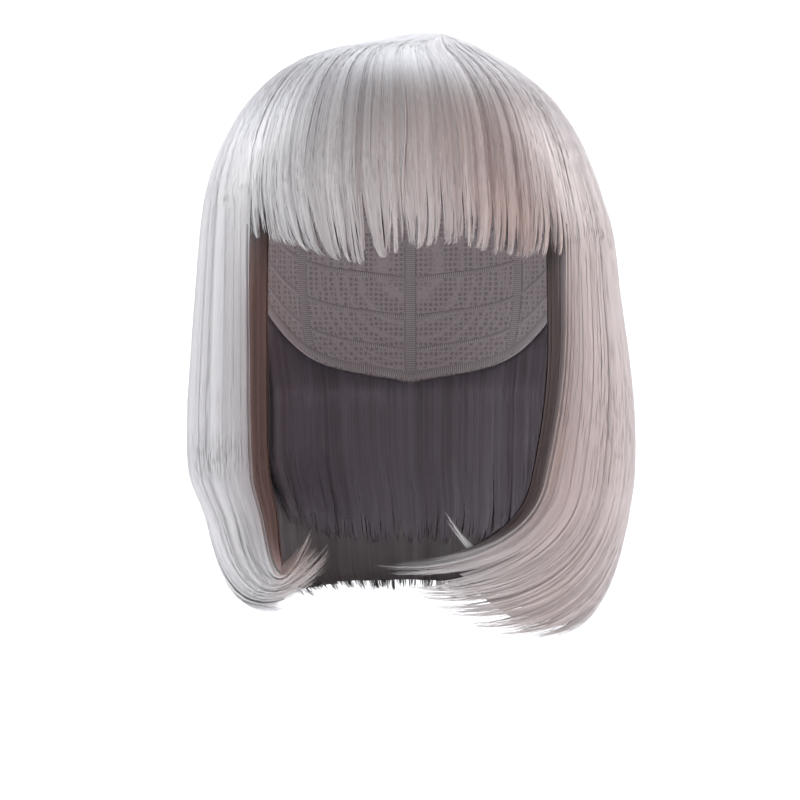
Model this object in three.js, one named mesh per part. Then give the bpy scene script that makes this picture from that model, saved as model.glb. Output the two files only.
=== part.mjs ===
import * as THREE from "three";
import { mergeVertices } from "three/addons/utils/BufferGeometryUtils.js";

// A chin-length bob wig with a full fringe, in millimetres, +Z up.
// The front looks along -Y and the wearer's left is +X. The origin is the inside top of the cap, where it
// sits. Azimuths are degrees round the wig: 0 is the front, 90 the wearer's left and 180 the nape. Drops are
// heights below the highest point of the hair.

// The inside of the cap. capCrown is the height from its widest level to its top.
const capBreadth = 150;
const capLength = 188;
const capCrown = 88;
const capSetBack = 2;
const capWall = 1.5;
const napeDepth = 146;

// How far the hair stands out from the inside of the cap, and its height over the cap and in all.
const sideOffset = 26.5;
const frontOffset = 15.5;
const backOffset = 23;
const hairAboveCap = 15;
const hairLength = 277;
const fringeLength = 108;

// The whorl, and the curl at the ends of the hair: its height and how far it can turn in.
const whorlDrop = 6;
const whorlShoulder = 0.55;
const curlHeight = 74;
const curlReach = 34;

// The short layer at the nape: how far above the cap's lower rim it is sewn on, how far below the rim it
// starts to curl, how far below the rim it ends, and how far inside the outer form it starts and hangs.
const napeSewnAbove = 43;
const napeHangBelow = 6;
const napeEndBelow = 77;
const napeInset = [14, 24];

// Depth of the hair, and of its locks.
const sideDepth = 12;
const backDepth = 12;
const fringeDepth = 6.5;
const napeLayerDepth = 7.5;
const tipDepth = 1.8;
const lockRelief = 2.6;

// How one lock differs from the next. lockProfile is the height of its rounded side at equal steps across,
// lockWander how unevenly the partings lie, in lock widths, and lowestCrest the flattest lock's height as a
// share of the fullest. At the tip it keeps tipWidth and tipHeight of these, and ends spread by tipSpread.
const lockProfile = [0, 0.72, 1, 0.72, 0];
const lockWander = 0.4;
const lowestCrest = 0.55;
const reliefStart = 0.35;
const tipWidth = 0.14;
const tipHeight = 0.25;
const tipSpread = 0.15;
const taper = 1.5;
const thinning = 1.2;

// The curl: the share of its fall where it starts to turn, and how far round and in it is halfway.
const curlStart = 0.62;
const curlTurn = 0.42;
const curlIn = 0.5;

// Clearances: hair to cap, and piece to piece.
const seatClearance = 1.2;
const partingClearance = 0.6;

// The hair leaves the cap over seatFade, ending a little above the widest level. From there the locks at the
// front of the sides lean towards the middle.
const seatAboveWidest = 8;
const seatFade = 24;

// Where one piece of hair ends and the next begins, as azimuths.
const fringeEdge = 41;
const sideEdge = 102;
const napeEdge = 124;

const hairWidth = capBreadth + 2 * sideOffset;
const hairFront = capLength / 2 - capSetBack + frontOffset;
const hairBack = capLength / 2 + capSetBack + backOffset;
const crownHeight = hairAboveCap + capCrown;
const hangDrop = hairLength - curlHeight;
const seatEndDrop = crownHeight - seatAboveWidest;
const rimDropAtNape = hairAboveCap + napeDepth;

// The rim of the cap: its depth below the top of the cap, as a share of napeDepth.
const capRim = [
  { azimuth: 0, depth: 0.3 },
  { azimuth: 35, depth: 0.35 },
  { azimuth: 58, depth: 0.55 },
  { azimuth: 78, depth: 0.64 },
  { azimuth: 100, depth: 0.62 },
  { azimuth: 122, depth: 0.75 },
  { azimuth: 145, depth: 0.92 },
  { azimuth: 180, depth: 1 },
];

// Level sections through the outer form of the hair. The drop is crown shares of crownHeight and fall shares
// of what hangs below it. halfWidth and shift, to the left, are shares of half of hairWidth, front of
// hairFront, and back and setBack of hairBack.
const hairSections = [
  { crown: 0, fall: 0, halfWidth: 0, front: 0, back: 0, shift: 0.085, setBack: 0.18 },
  { crown: 0.048, fall: 0, halfWidth: 0.22, front: 0.27, back: 0.22, shift: 0.04, setBack: 0.15 },
  { crown: 0.121, fall: 0, halfWidth: 0.42, front: 0.53, back: 0.44, shift: -0.04, setBack: 0.1 },
  { crown: 0.188, fall: 0, halfWidth: 0.53, front: 0.69, back: 0.59, shift: -0.05, setBack: 0.07 },
  { crown: 0.323, fall: 0, halfWidth: 0.68, front: 0.86, back: 0.77, shift: -0.045, setBack: 0.04 },
  { crown: 0.511, fall: 0, halfWidth: 0.8, front: 0.965, back: 0.89, shift: -0.04, setBack: 0.015 },
  { crown: 0.726, fall: 0, halfWidth: 0.88, front: 1, back: 0.96, shift: -0.035, setBack: 0 },
  { crown: 0.914, fall: 0, halfWidth: 0.922, front: 1, back: 0.99, shift: -0.02, setBack: 0 },
  { crown: 1, fall: 0.109, halfWidth: 0.95, front: 0.985, back: 1, shift: -0.015, setBack: 0 },
  { crown: 1, fall: 0.268, halfWidth: 0.98, front: 0.975, back: 0.99, shift: -0.005, setBack: 0 },
  { crown: 1, fall: 0.427, halfWidth: 1, front: 0.965, back: 0.965, shift: 0, setBack: 0 },
  { crown: 1, fall: 0.57, halfWidth: 0.996, front: 0.955, back: 0.935, shift: 0.004, setBack: 0 },
  { crown: 1, fall: 0.682, halfWidth: 0.956, front: 0.945, back: 0.92, shift: 0.025, setBack: 0 },
  { crown: 1, fall: 0.809, halfWidth: 0.942, front: 0.94, back: 0.91, shift: 0.026, setBack: 0 },
  { crown: 1, fall: 1, halfWidth: 0.93, front: 0.93, back: 0.9, shift: 0.03, setBack: 0 },
];
const hairPower = 2.25;
const capPower = 2.3;

// How the hair ends round the wig. lean is how far a strand has turned where its curl starts, tip the
// azimuth where it ends, drop a share of hairLength, reach how far it curls in and dip how far it hangs
// below its own tip first, both as shares of curlReach. late is how late it turns in, from 0 to 1. The left
// sweeps further across than the right, which hooks up.
const hairTips = [
  { azimuth: 41, lean: -8, tip: -14, drop: 0.885, reach: 0.85, dip: 0.05, late: 0 },
  { azimuth: 55, lean: -6, tip: 2, drop: 0.925, reach: 0.8, dip: 0.07, late: 0 },
  { azimuth: 70, lean: -3, tip: 17, drop: 0.965, reach: 0.75, dip: 0.1, late: 0 },
  { azimuth: 85, lean: -1, tip: 34, drop: 0.98, reach: 0.75, dip: 0.12, late: 0 },
  { azimuth: 102, lean: 0, tip: 70, drop: 0.97, reach: 0.9, dip: 0.12, late: 0 },
  { azimuth: 130, lean: 0, tip: 120, drop: 0.95, reach: 0.97, dip: 0.12, late: 0 },
  { azimuth: 180, lean: 0, tip: 180, drop: 0.935, reach: 1, dip: 0.12, late: 0 },
  { azimuth: 230, lean: 0, tip: 238, drop: 0.945, reach: 0.97, dip: 0.12, late: 0 },
  { azimuth: 258, lean: 0, tip: 276, drop: 0.95, reach: 1, dip: 0.25, late: 0.3 },
  { azimuth: 275, lean: 0, tip: 311, drop: 0.91, reach: 0.9, dip: 0.7, late: 0.4 },
  { azimuth: 290, lean: 0, tip: 320, drop: 0.88, reach: 1, dip: 1.05, late: 0.5 },
  { azimuth: 305, lean: 0, tip: 325, drop: 0.845, reach: 0.95, dip: 1.35, late: 0.65 },
  { azimuth: 319, lean: 0, tip: 329, drop: 0.8, reach: 0.88, dip: 1.65, late: 0.8 },
];

// The same for the fringe, with drop a share of fringeLength.
const fringeTips = [
  { azimuth: -41, lean: 0, tip: -40, drop: 0.92, reach: 0.04, dip: 0, late: 0 },
  { azimuth: -30, lean: 0, tip: -25.5, drop: 0.975, reach: 0.1, dip: 0, late: 0 },
  { azimuth: -15, lean: 0, tip: -12.5, drop: 1.03, reach: 0.1, dip: 0, late: 0 },
  { azimuth: 2, lean: 0, tip: 2, drop: 0.975, reach: 0.1, dip: 0, late: 0 },
  { azimuth: 13, lean: 0, tip: 12, drop: 0.965, reach: 0.1, dip: 0, late: 0 },
  { azimuth: 30, lean: 0, tip: 29, drop: 1.01, reach: 0.1, dip: 0, late: 0 },
  { azimuth: 41, lean: 0, tip: 40.4, drop: 0.99, reach: 0.04, dip: 0, late: 0 },
];

// The same for the layer at the nape, with drop a share of its own lowest drop.
const napeTips = [
  { azimuth: 124, lean: 0, tip: 125, drop: 0.95, reach: 1.1, dip: 0.05, late: 0 },
  { azimuth: 150, lean: 0, tip: 150, drop: 0.99, reach: 1.05, dip: 0.05, late: 0 },
  { azimuth: 180, lean: 0, tip: 180, drop: 1, reach: 1.05, dip: 0.05, late: 0 },
  { azimuth: 210, lean: 0, tip: 210, drop: 0.99, reach: 0.96, dip: 0.05, late: 0 },
  { azimuth: 236, lean: 0, tip: 235, drop: 0.95, reach: 0.9, dip: 0.05, late: 0 },
];

// Rows along the strands, as stations: 0 is the whorl, 1 where the curl starts and 2 the tip. The fringe
// shares the rows of the sides down to its own curl, so that the edges of both agree.
const hangStations = [0, 0.05, 0.11, 0.19, 0.28, 0.37, 0.46, 0.58, 0.72, 0.86, 1];
const curlStations = [1.2, 1.4, 1.6, 1.8, 1.94];
const curlRowsTogether = 2;
const fringeHangRows = 6;
const fringeCurlStations = [1.35, 1.6, 1.8, 1.94];
const napeStations = [0, 0.33, 0.67, 1, 1.3, 1.6, 1.8, 1.94];
const napeRowsTogether = 5;

// How closely a search by halves settles, in millimetres or degrees.
const closeEnough = 0.001;

// A smooth curve through one column of a table.
function column(rows, key, name, scale = 1) {
  const keys = rows.map((row) => row[key]);
  const curve = new THREE.CubicInterpolant(keys, rows.map((row) => row[name] * scale), 1);
  return (value) => curve.evaluate(THREE.MathUtils.clamp(value, keys[0], keys.at(-1)))[0];
}

// A number from 0 to 1 that looks random but is the same in every run.
function scatter(seed, index) {
  const wave = Math.sin(seed * 127.1 + index * 311.7) * 43758.5453;
  return wave - Math.floor(wave);
}

// The azimuth's distance from the front, 0 to 180, on either side.
function fromFront(azimuth) {
  return Math.abs(THREE.MathUtils.euclideanModulo(azimuth + 180, 360) - 180);
}

// Sections are spaced by the square root of the drop, because the form starts flat at the whorl.
const sectionRows = hairSections.map((row) => ({
  ...row,
  run: Math.sqrt(row.crown * crownHeight + row.fall * (hairLength - crownHeight)),
}));
const section = {
  halfWidth: column(sectionRows, "run", "halfWidth", hairWidth / 2),
  front: column(sectionRows, "run", "front", hairFront),
  back: column(sectionRows, "run", "back", hairBack),
  shift: column(sectionRows, "run", "shift", hairWidth / 2),
  setBack: column(sectionRows, "run", "setBack", hairBack),
};
const rimDepth = column(capRim, "azimuth", "depth", napeDepth);

// A point of the outer form, moved in towards the middle of its section by inset.
function formPoint(azimuth, drop, inset) {
  const run = Math.sqrt(Math.max(drop, 0));
  const angle = THREE.MathUtils.degToRad(azimuth);
  const across = Math.sin(angle);
  const along = Math.cos(angle);
  const nearZero = 1e-6;
  const wide = Math.max(section.halfWidth(run), nearZero);
  const deep = Math.max(along > 0 ? section.front(run) : section.back(run), nearZero);
  const sum = (Math.abs(across) / wide) ** hairPower + (Math.abs(along) / deep) ** hairPower;
  const radius = sum ** (-1 / hairPower) - inset;
  return new THREE.Vector3(
    section.shift(run) + radius * across,
    section.setBack(run) - radius * along,
    hairAboveCap - drop,
  );
}

// Distance from the middle of the cap to its inside, grown by a margin, in a direction.
function capRadius(direction, margin) {
  const level =
    (Math.abs(direction.x) / (capBreadth / 2 + margin)) ** capPower +
    (Math.abs(direction.y) / (capLength / 2 + margin)) ** capPower +
    (Math.abs(direction.z) / (capCrown + margin)) ** capPower;
  return level ** (-1 / capPower);
}

const capMiddle = new THREE.Vector3(0, capSetBack, -capCrown);

// How far a point is from the seat of the hair on the cap, towards the middle of the cap.
function aboveSeat(point) {
  const offset = point.clone().sub(capMiddle);
  const distance = offset.length();
  return distance - capRadius(offset.divideScalar(distance), capWall + seatClearance);
}

// How far from a point, along a direction, the seat lies, or reach if it is further.
function depthToSeat(point, direction, reach) {
  const at = (depth) => aboveSeat(point.clone().addScaledVector(direction, depth));
  if (at(reach) > 0) return reach;
  let [near, far] = [0, reach];
  while (far - near > closeEnough) {
    const middle = (near + far) / 2;
    if (at(middle) > 0) near = middle;
    else far = middle;
  }
  return near;
}

// A family of strands: where they start, start to curl and end.
function strandFamily({ root, hang, length, tips, inset = [0, 0] }) {
  return {
    root,
    hang,
    inset,
    lean: column(tips, "azimuth", "lean"),
    tip: column(tips, "azimuth", "tip"),
    tipDrop: column(tips, "azimuth", "drop", length),
    reach: column(tips, "azimuth", "reach", curlReach),
    dip: column(tips, "azimuth", "dip", curlReach),
    late: column(tips, "azimuth", "late"),
  };
}

// The drop at a station from 0 to 1. The rows are closer together near the whorl.
function hangingDrop(family, station) {
  return THREE.MathUtils.lerp(Math.sqrt(family.root), Math.sqrt(family.hang), station) ** 2;
}

// A point along a strand. Stations 0 to 1 lie on the outer form and 1 to 2 are the curl, a Bezier curve.
function strandPoint(family, azimuth, station) {
  const lean = family.lean(azimuth);
  if (station <= 1) {
    const drop = hangingDrop(family, station);
    const share = (drop - family.root) / (family.hang - family.root);
    const leaning = Math.max((drop - seatEndDrop) / (family.hang - seatEndDrop), 0) ** 2;
    return formPoint(azimuth + lean * leaning, drop, THREE.MathUtils.lerp(...family.inset, share));
  }
  const { lerp } = THREE.MathUtils;
  const tip = family.tip(azimuth);
  const tipDrop = family.tipDrop(azimuth);
  const reach = family.reach(azimuth);
  const hangInset = family.inset[1];
  const early = 1 - family.late(azimuth);
  const halfway = [lerp(azimuth, tip, curlTurn * early), lerp(hangInset, reach, curlIn * early)];
  const curve = new THREE.CubicBezierCurve3(
    new THREE.Vector3(azimuth + lean, hangInset, family.hang),
    new THREE.Vector3(azimuth + lean * 1.5, hangInset, lerp(family.hang, tipDrop, curlStart)),
    new THREE.Vector3(...halfway, tipDrop + family.dip(azimuth)),
    new THREE.Vector3(tip, reach, tipDrop),
  );
  const at = curve.getPoint(station - 1);
  return formPoint(at.x, at.z, at.y);
}

// The outward normal of a family of strands, and the direction across them.
function strandFrame(family, azimuth, station) {
  const step = 0.02;
  const turn = 0.4;
  const low = Math.min(station, 2 - step);
  const down = strandPoint(family, azimuth, low + step).sub(strandPoint(family, azimuth, Math.max(low - step, 0)));
  const across = strandPoint(family, azimuth + turn, station).sub(strandPoint(family, azimuth - turn, station));
  return { normal: down.clone().cross(across).normalize(), across: across.normalize() };
}

// How much of the hair rests on the cap at a drop: 1 where it is sewn on and 0 where it hangs free.
function seated(azimuth, drop, seatEnd) {
  const end = Math.min(rimDepth(fromFront(azimuth)) + hairAboveCap, seatEnd);
  return 1 - THREE.MathUtils.smoothstep(drop, end - 0.75 * seatFade, end + 0.25 * seatFade);
}

// A sheet of locks side by side. The locks are one sheet down to the row named by split, and come to
// points below it. Each lock has a rounded outer side of four facets and a flat inner side.
function lockedSheet({ family, from, to, locks, stations, split, depth, seatEnd, seed }) {
  const { lerp, smoothstep } = THREE.MathUtils;
  const last = stations.length - 1;
  const triangles = [];
  const quad = (a, b, c, d) => triangles.push(a, b, c, a, c, d);

  // The azimuth of the parting before a lock. The first and the last are the edges of the sheet.
  const parting = (index) => {
    const wander = index > 0 && index < locks ? (scatter(seed, index) - 0.5) * lockWander : 0;
    return from + ((to - from) * (index + wander)) / locks;
  };

  // The outer and the inner point of a lock at one row, at one of the steps across it.
  const pairAt = (lock, row, step) => {
    const past = Math.max(row - split, 0) / (last - split);
    const spread = 1 + (scatter(seed + 5, lock) - 0.5) * tipSpread;
    const reached = row > split ? stations[split] + (stations[row] - stations[split]) * spread : stations[row];
    const station = Math.min(reached, 2);

    const [left, right] = [parting(lock), parting(lock + 1)];
    const middle = (left + right) / 2;
    const width = lerp(1, tipWidth, past ** taper);
    const azimuth = middle + (lerp(left, right, step / (lockProfile.length - 1)) - middle) * width;
    const base = strandPoint(family, azimuth, station);
    const { normal, across } = strandFrame(family, azimuth, station);

    const fullest = lockRelief * smoothstep(station, stations[0], stations[0] + reliefStart) * lerp(1, tipHeight, past);
    const crest = lockProfile[step] * lerp(lowestCrest, 1, scatter(seed + 9, lock));
    const thickness = lerp(depth, tipDepth, Math.max(station - 1, past, 0) ** thinning);
    const seat = depthToSeat(base, normal.clone().negate(), 2 * depth);
    const rest = station > 1 ? 0 : seated(azimuth, hairAboveCap - base.z, seatEnd);
    const inset = lerp(Math.min(thickness, seat), seat, rest);

    const firstEdge = lock === 0 && step === 0;
    const lastEdge = lock === locks - 1 && step === lockProfile.length - 1;
    const side = Number(firstEdge) - Number(lastEdge);
    base.addScaledVector(across, (side * partingClearance) / 2);
    return {
      outer: base.clone().addScaledVector(normal, fullest * (crest - 1)),
      inner: base.clone().addScaledVector(normal, -inset),
    };
  };

  for (let lock = 0; lock < locks; lock += 1) {
    const rows = stations.map((_, row) => {
      const pairs = lockProfile.map((_, step) => pairAt(lock, row, step));
      return { outer: pairs.map((pair) => pair.outer), inner: [pairs[0].inner, pairs.at(-1).inner] };
    });
    const end = ({ outer, inner }, flip) => {
      const ring = [...outer, inner[1], inner[0]];
      for (let index = 1; index < ring.length - 1; index += 1) {
        const [b, c] = flip ? [ring[index + 1], ring[index]] : [ring[index], ring[index + 1]];
        triangles.push(ring[0], b, c);
      }
    };
    end(rows[0], false);
    for (let row = 0; row < last; row += 1) {
      const [top, low] = [rows[row], rows[row + 1]];
      for (let step = 0; step < lockProfile.length - 1; step += 1)
        quad(top.outer[step], low.outer[step], low.outer[step + 1], top.outer[step + 1]);
      quad(top.inner[0], top.inner[1], low.inner[1], low.inner[0]);
      if (lock === 0 || row >= split) quad(top.outer[0], top.inner[0], low.inner[0], low.outer[0]);
      if (lock === locks - 1 || row >= split)
        quad(top.outer.at(-1), low.outer.at(-1), low.inner[1], top.inner[1]);
    }
    end(rows[last], true);
  }
  return triangles;
}

// The cap: a thin dome from its top to its rim.
function capSolid(columns, rows) {
  const direction = (azimuth, lean) =>
    new THREE.Vector3(0, 0, 1)
      .applyAxisAngle(new THREE.Vector3(1, 0, 0), THREE.MathUtils.degToRad(lean))
      .applyAxisAngle(new THREE.Vector3(0, 0, 1), THREE.MathUtils.degToRad(azimuth));
  const leanOfRim = (azimuth) => {
    const depth = rimDepth(fromFront(azimuth));
    let [low, high] = [20, 170];
    while (high - low > closeEnough) {
      const lean = (low + high) / 2;
      const ray = direction(azimuth, lean);
      if (capMiddle.z + ray.z * capRadius(ray, capWall) > -depth) low = lean;
      else high = lean;
    }
    return low;
  };
  const grid = Array.from({ length: columns }, (_, index) => {
    const azimuth = (index * 360) / columns;
    const rim = leanOfRim(azimuth);
    return Array.from({ length: rows + 1 }, (_, row) => {
      const ray = direction(azimuth, (rim * row) / rows);
      const [outer, inner] = [capWall, 0].map((margin) =>
        capMiddle.clone().addScaledVector(ray, capRadius(ray, margin)),
      );
      return { outer, inner };
    });
  });
  const triangles = [];
  const quad = (a, b, c, d) => triangles.push(a, b, c, a, c, d);
  grid.forEach((left, index) => {
    const right = grid[(index + 1) % columns];
    const top = grid[0][0];
    triangles.push(top.outer, left[1].outer, right[1].outer, top.inner, right[1].inner, left[1].inner);
    for (let row = 1; row < rows; row += 1) {
      quad(left[row].outer, left[row + 1].outer, right[row + 1].outer, right[row].outer);
      quad(left[row].inner, right[row].inner, right[row + 1].inner, left[row + 1].inner);
    }
    quad(left[rows].outer, left[rows].inner, right[rows].inner, right[rows].outer);
  });
  return triangles;
}

// The round of short hair at the whorl, from which every other strand leaves.
function whorlSolid(family, columns) {
  const apex = formPoint(0, 0, 0);
  const apexSeat = apex.clone().lerp(capMiddle, aboveSeat(apex) / apex.distanceTo(capMiddle));
  const rings = Array.from({ length: columns }, (_, index) => {
    const azimuth = (index * 360) / columns;
    const rim = strandPoint(family, azimuth, 0);
    const inward = strandFrame(family, azimuth, 0).normal.negate();
    const rimSeat = rim.clone().addScaledVector(inward, depthToSeat(rim, inward, 2 * hairAboveCap));
    const parted = rim.clone().sub(apex).setZ(0).setLength(partingClearance);
    return {
      shoulder: formPoint(azimuth, whorlDrop * whorlShoulder ** 2, 0),
      outer: rim.sub(parted),
      inner: rimSeat.sub(parted),
    };
  });
  const triangles = [];
  const quad = (a, b, c, d) => triangles.push(a, b, c, a, c, d);
  rings.forEach((left, index) => {
    const right = rings[(index + 1) % columns];
    triangles.push(apex, left.shoulder, right.shoulder, apexSeat, right.inner, left.inner);
    quad(left.shoulder, left.outer, right.outer, right.shoulder);
    quad(left.outer, left.inner, right.inner, right.outer);
  });
  return triangles;
}

const fringeHangStation = hangStations[fringeHangRows];
const outerHair = strandFamily({ root: whorlDrop, hang: hangDrop, length: hairLength, tips: hairTips });
const fringeHair = strandFamily({
  root: whorlDrop,
  hang: hangingDrop(outerHair, fringeHangStation),
  length: fringeLength,
  tips: fringeTips,
});
const napeHair = strandFamily({
  root: rimDropAtNape - napeSewnAbove,
  hang: rimDropAtNape + napeHangBelow,
  length: rimDropAtNape + napeEndBelow,
  tips: napeTips,
  inset: napeInset,
});

// The sheets of locks. split is the row where the locks part from each other.
const outerSheet = {
  family: outerHair,
  stations: [...hangStations, ...curlStations],
  split: hangStations.length - 1 + curlRowsTogether,
  seatEnd: seatEndDrop,
};
const sheets = [
  {
    name: "fringe",
    family: fringeHair,
    from: -fringeEdge,
    to: fringeEdge,
    locks: 18,
    stations: [
      ...hangStations.slice(0, fringeHangRows + 1).map((station) => station / fringeHangStation),
      ...fringeCurlStations,
    ],
    split: fringeHangRows + 1,
    depth: fringeDepth,
    seatEnd: seatEndDrop,
    seed: 3,
  },
  { ...outerSheet, name: "side_hair_left", from: fringeEdge, to: sideEdge, locks: 11, depth: sideDepth, seed: 11 },
  {
    ...outerSheet,
    name: "side_hair_right",
    from: 360 - sideEdge,
    to: 360 - fringeEdge,
    locks: 11,
    depth: sideDepth,
    seed: 17,
  },
  { ...outerSheet, name: "back_hair", from: sideEdge, to: 360 - sideEdge, locks: 20, depth: backDepth, seed: 23 },
  {
    name: "nape_hair",
    family: napeHair,
    from: napeEdge,
    to: 360 - napeEdge,
    locks: 12,
    stations: napeStations,
    split: napeRowsTogether,
    depth: napeLayerDepth,
    seatEnd: Infinity,
    seed: 29,
  },
];

const hairMaterial = new THREE.MeshStandardMaterial({ color: 0xc9c5cf, roughness: 0.38, metalness: 0 });
const shadedHairMaterial = new THREE.MeshStandardMaterial({ color: 0xaba5b0, roughness: 0.45, metalness: 0 });
const netMaterial = new THREE.MeshStandardMaterial({ color: 0xd6d0cf, roughness: 0.9, metalness: 0 });

const wig = new THREE.Group();

// Adds one closed surface, from triangles that share their corners, as a named piece.
function addPiece(name, triangles, material) {
  const geometry = mergeVertices(new THREE.BufferGeometry().setFromPoints(triangles), 1e-4);
  geometry.computeVertexNormals();
  const mesh = new THREE.Mesh(geometry, material);
  mesh.name = name;
  wig.add(mesh);
}

addPiece("wig_cap", capSolid(36, 7), netMaterial);
addPiece("crown_whorl", whorlSolid(outerHair, 36), hairMaterial);
for (const { name, ...sheet } of sheets) {
  addPiece(name, lockedSheet(sheet), name === "nape_hair" ? shadedHairMaterial : hairMaterial);
}

export default wig;
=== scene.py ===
"""The finish of a silver-lavender bob wig: fine strands of fibre over sheets of hair, sewn on a net cap.

Lengths are millimetres and azimuths are degrees round the wig, 0 at the front and 90 at the wearer's left.
Drops are heights below the highest point of the hair. A mesh is scaled to metres when it is made.
"""

import logging
import math
from dataclasses import dataclass, field
from enum import Enum
from functools import cached_property

import bpy
import numpy as np
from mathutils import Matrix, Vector

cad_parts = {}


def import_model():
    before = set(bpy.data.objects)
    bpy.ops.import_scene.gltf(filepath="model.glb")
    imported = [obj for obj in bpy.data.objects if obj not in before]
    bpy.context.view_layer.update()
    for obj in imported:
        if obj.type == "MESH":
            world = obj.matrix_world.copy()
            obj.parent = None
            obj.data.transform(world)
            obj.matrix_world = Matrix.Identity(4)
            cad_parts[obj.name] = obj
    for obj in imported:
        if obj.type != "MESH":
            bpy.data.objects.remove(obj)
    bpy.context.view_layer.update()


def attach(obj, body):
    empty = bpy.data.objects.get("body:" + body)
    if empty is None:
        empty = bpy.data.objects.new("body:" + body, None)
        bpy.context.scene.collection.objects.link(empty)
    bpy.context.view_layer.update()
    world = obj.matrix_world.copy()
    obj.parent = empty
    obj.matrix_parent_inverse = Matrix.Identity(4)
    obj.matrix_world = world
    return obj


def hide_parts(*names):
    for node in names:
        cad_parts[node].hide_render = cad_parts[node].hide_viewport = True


LOG = logging.getLogger("bob_wig")
METRES = 0.001
BAKE_MAP = "OFBake"
PLACE = "strand_place"
NEAR_ZERO = 1e-6
# Millimetres to a degree round the hair and to a station along it, for the streaks of the fibre.
DEGREE = 1.7
STATION = 20
# Strands have their places further apart than they lie, so that each has streaks of its own.
STRAND_DEGREE = 9
# The station of a lock's tip, before the ends of its own strands.
LOCK_TIP = 1.94
# The shares of a bake map that the body of hair under the strands and the whorl's pad take up.
BODY_STRIP = 0.35
PAD_STRIP = 0.2


def lerp(low: np.ndarray, high: np.ndarray, share: np.ndarray) -> np.ndarray:
    """Returns the value at a share of the way from low to high."""
    return low + (high - low) * share


def smoothstep(value: np.ndarray, low: float, high: float) -> np.ndarray:
    """Returns 0 below low and 1 above high, with a smooth rise between them."""
    share = np.clip((value - low) / (high - low), 0, 1)
    return share * share * (3 - 2 * share)


def scatter(seed: int, index: np.ndarray) -> np.ndarray:
    """Makes numbers that look random but are the same in every run.

    Args:
        seed: Which row of numbers.
        index: Which numbers of the row.

    Returns:
        The numbers, from 0 to 1.
    """
    # A wave that is very high and steps unevenly has fractions in no visible order.
    seed_step, index_step, height = 127.1, 311.7, 43758.5453
    wave = np.sin(seed * seed_step + np.asarray(index, float) * index_step) * height
    return wave - np.floor(wave)


def unit(vectors: np.ndarray) -> np.ndarray:
    """Returns the vectors with a length of 1."""
    return vectors / np.maximum(np.linalg.norm(vectors, axis=-1, keepdims=True), NEAR_ZERO)


def linear_rgba(sheet_hex: str) -> tuple[float, float, float, float]:
    """Turns an sRGB hex colour to linear.

    Args:
        sheet_hex: A colour such as "c8c2d0".

    Returns:
        Linear red, green and blue, and an alpha of 1.
    """
    channels = [int(sheet_hex[at : at + 2], 16) / 255 for at in (0, 2, 4)]
    red, green, blue = (c / 12.92 if c <= 0.04045 else ((c + 0.055) / 1.055) ** 2.4 for c in channels)
    return red, green, blue, 1.0


@dataclass(frozen=True)
class Curve:
    """A smooth curve through a row of values at uneven keys."""

    keys: np.ndarray
    values: np.ndarray

    def at(self, place: np.ndarray) -> np.ndarray:
        """Reads the curve.

        Args:
            place: Where to read it. Past its ends it keeps its end values.

        Returns:
            The values there.
        """
        keys, values = self.keys, self.values
        last = len(keys) - 1
        place = np.clip(place, keys[0], keys[-1])
        high = np.clip(np.searchsorted(keys, place, side="right"), 1, last)
        low = high - 1
        before = np.where(low > 0, low - 1, high)
        after = np.where(high < last, high + 1, low)
        start, end = keys[low], keys[high]
        pull_in = (end - start) / 2 / (start - keys[before])
        pull_out = (end - start) / 2 / (keys[after] - end)
        p = (place - start) / (end - start)
        return (
            (2 * p**2 - p**3 - p) * pull_in * values[before]
            + ((1 + pull_in) * p**3 - (1.5 + 2 * pull_in) * p**2 + (pull_in - 0.5) * p + 1) * values[low]
            + ((1.5 + pull_out) * p**2 - (1 + pull_out) * p**3 + 0.5 * p) * values[high]
            + (p**3 - p**2) * pull_out * values[after]
        )


@dataclass(frozen=True)
class Cap:
    """The cap that the hair is sewn on: a dome, by its inside."""

    breadth: float = 150
    length: float = 188
    crown: float = 88
    set_back: float = 2
    wall: float = 1.5
    nape_depth: float = 146
    power: float = 2.3
    # The depth of the rim below the top, as shares of nape_depth, by azimuth from the front.
    rim: tuple[tuple[float, float], ...] = (
        (0, 0.3),
        (35, 0.35),
        (58, 0.55),
        (78, 0.64),
        (100, 0.62),
        (122, 0.75),
        (145, 0.92),
        (180, 1),
    )

    @cached_property
    def middle(self) -> np.ndarray:
        """Returns the middle of its widest level."""
        return np.array([0, self.set_back, -self.crown])

    @cached_property
    def rim_curve(self) -> Curve:
        """Returns the depth of the rim below the top of the cap."""
        azimuths, depths = np.array(self.rim, float).T
        return Curve(azimuths, depths * self.nape_depth)

    def rim_depth(self, azimuth: np.ndarray) -> np.ndarray:
        """Returns the depth of the rim at azimuths, the same on both sides."""
        return self.rim_curve.at(np.abs((azimuth + 180) % 360 - 180))

    def radius(self, direction: np.ndarray, margin: float) -> np.ndarray:
        """Measures the dome.

        Args:
            direction: Unit vectors from its middle.
            margin: How far outside its inner side.

        Returns:
            Distances from the middle along the directions.
        """
        half = np.array([self.breadth / 2, self.length / 2, self.crown])
        spans = half + np.asarray(margin)[..., None]
        return np.sum((np.abs(direction) / spans) ** self.power, axis=-1) ** (-1 / self.power)

    def above(self, point: np.ndarray, margin: float) -> np.ndarray:
        """Returns how far points are from the dome grown by a margin, towards its middle."""
        offset = point - self.middle
        return np.linalg.norm(offset, axis=-1) - self.radius(unit(offset), margin)


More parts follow.
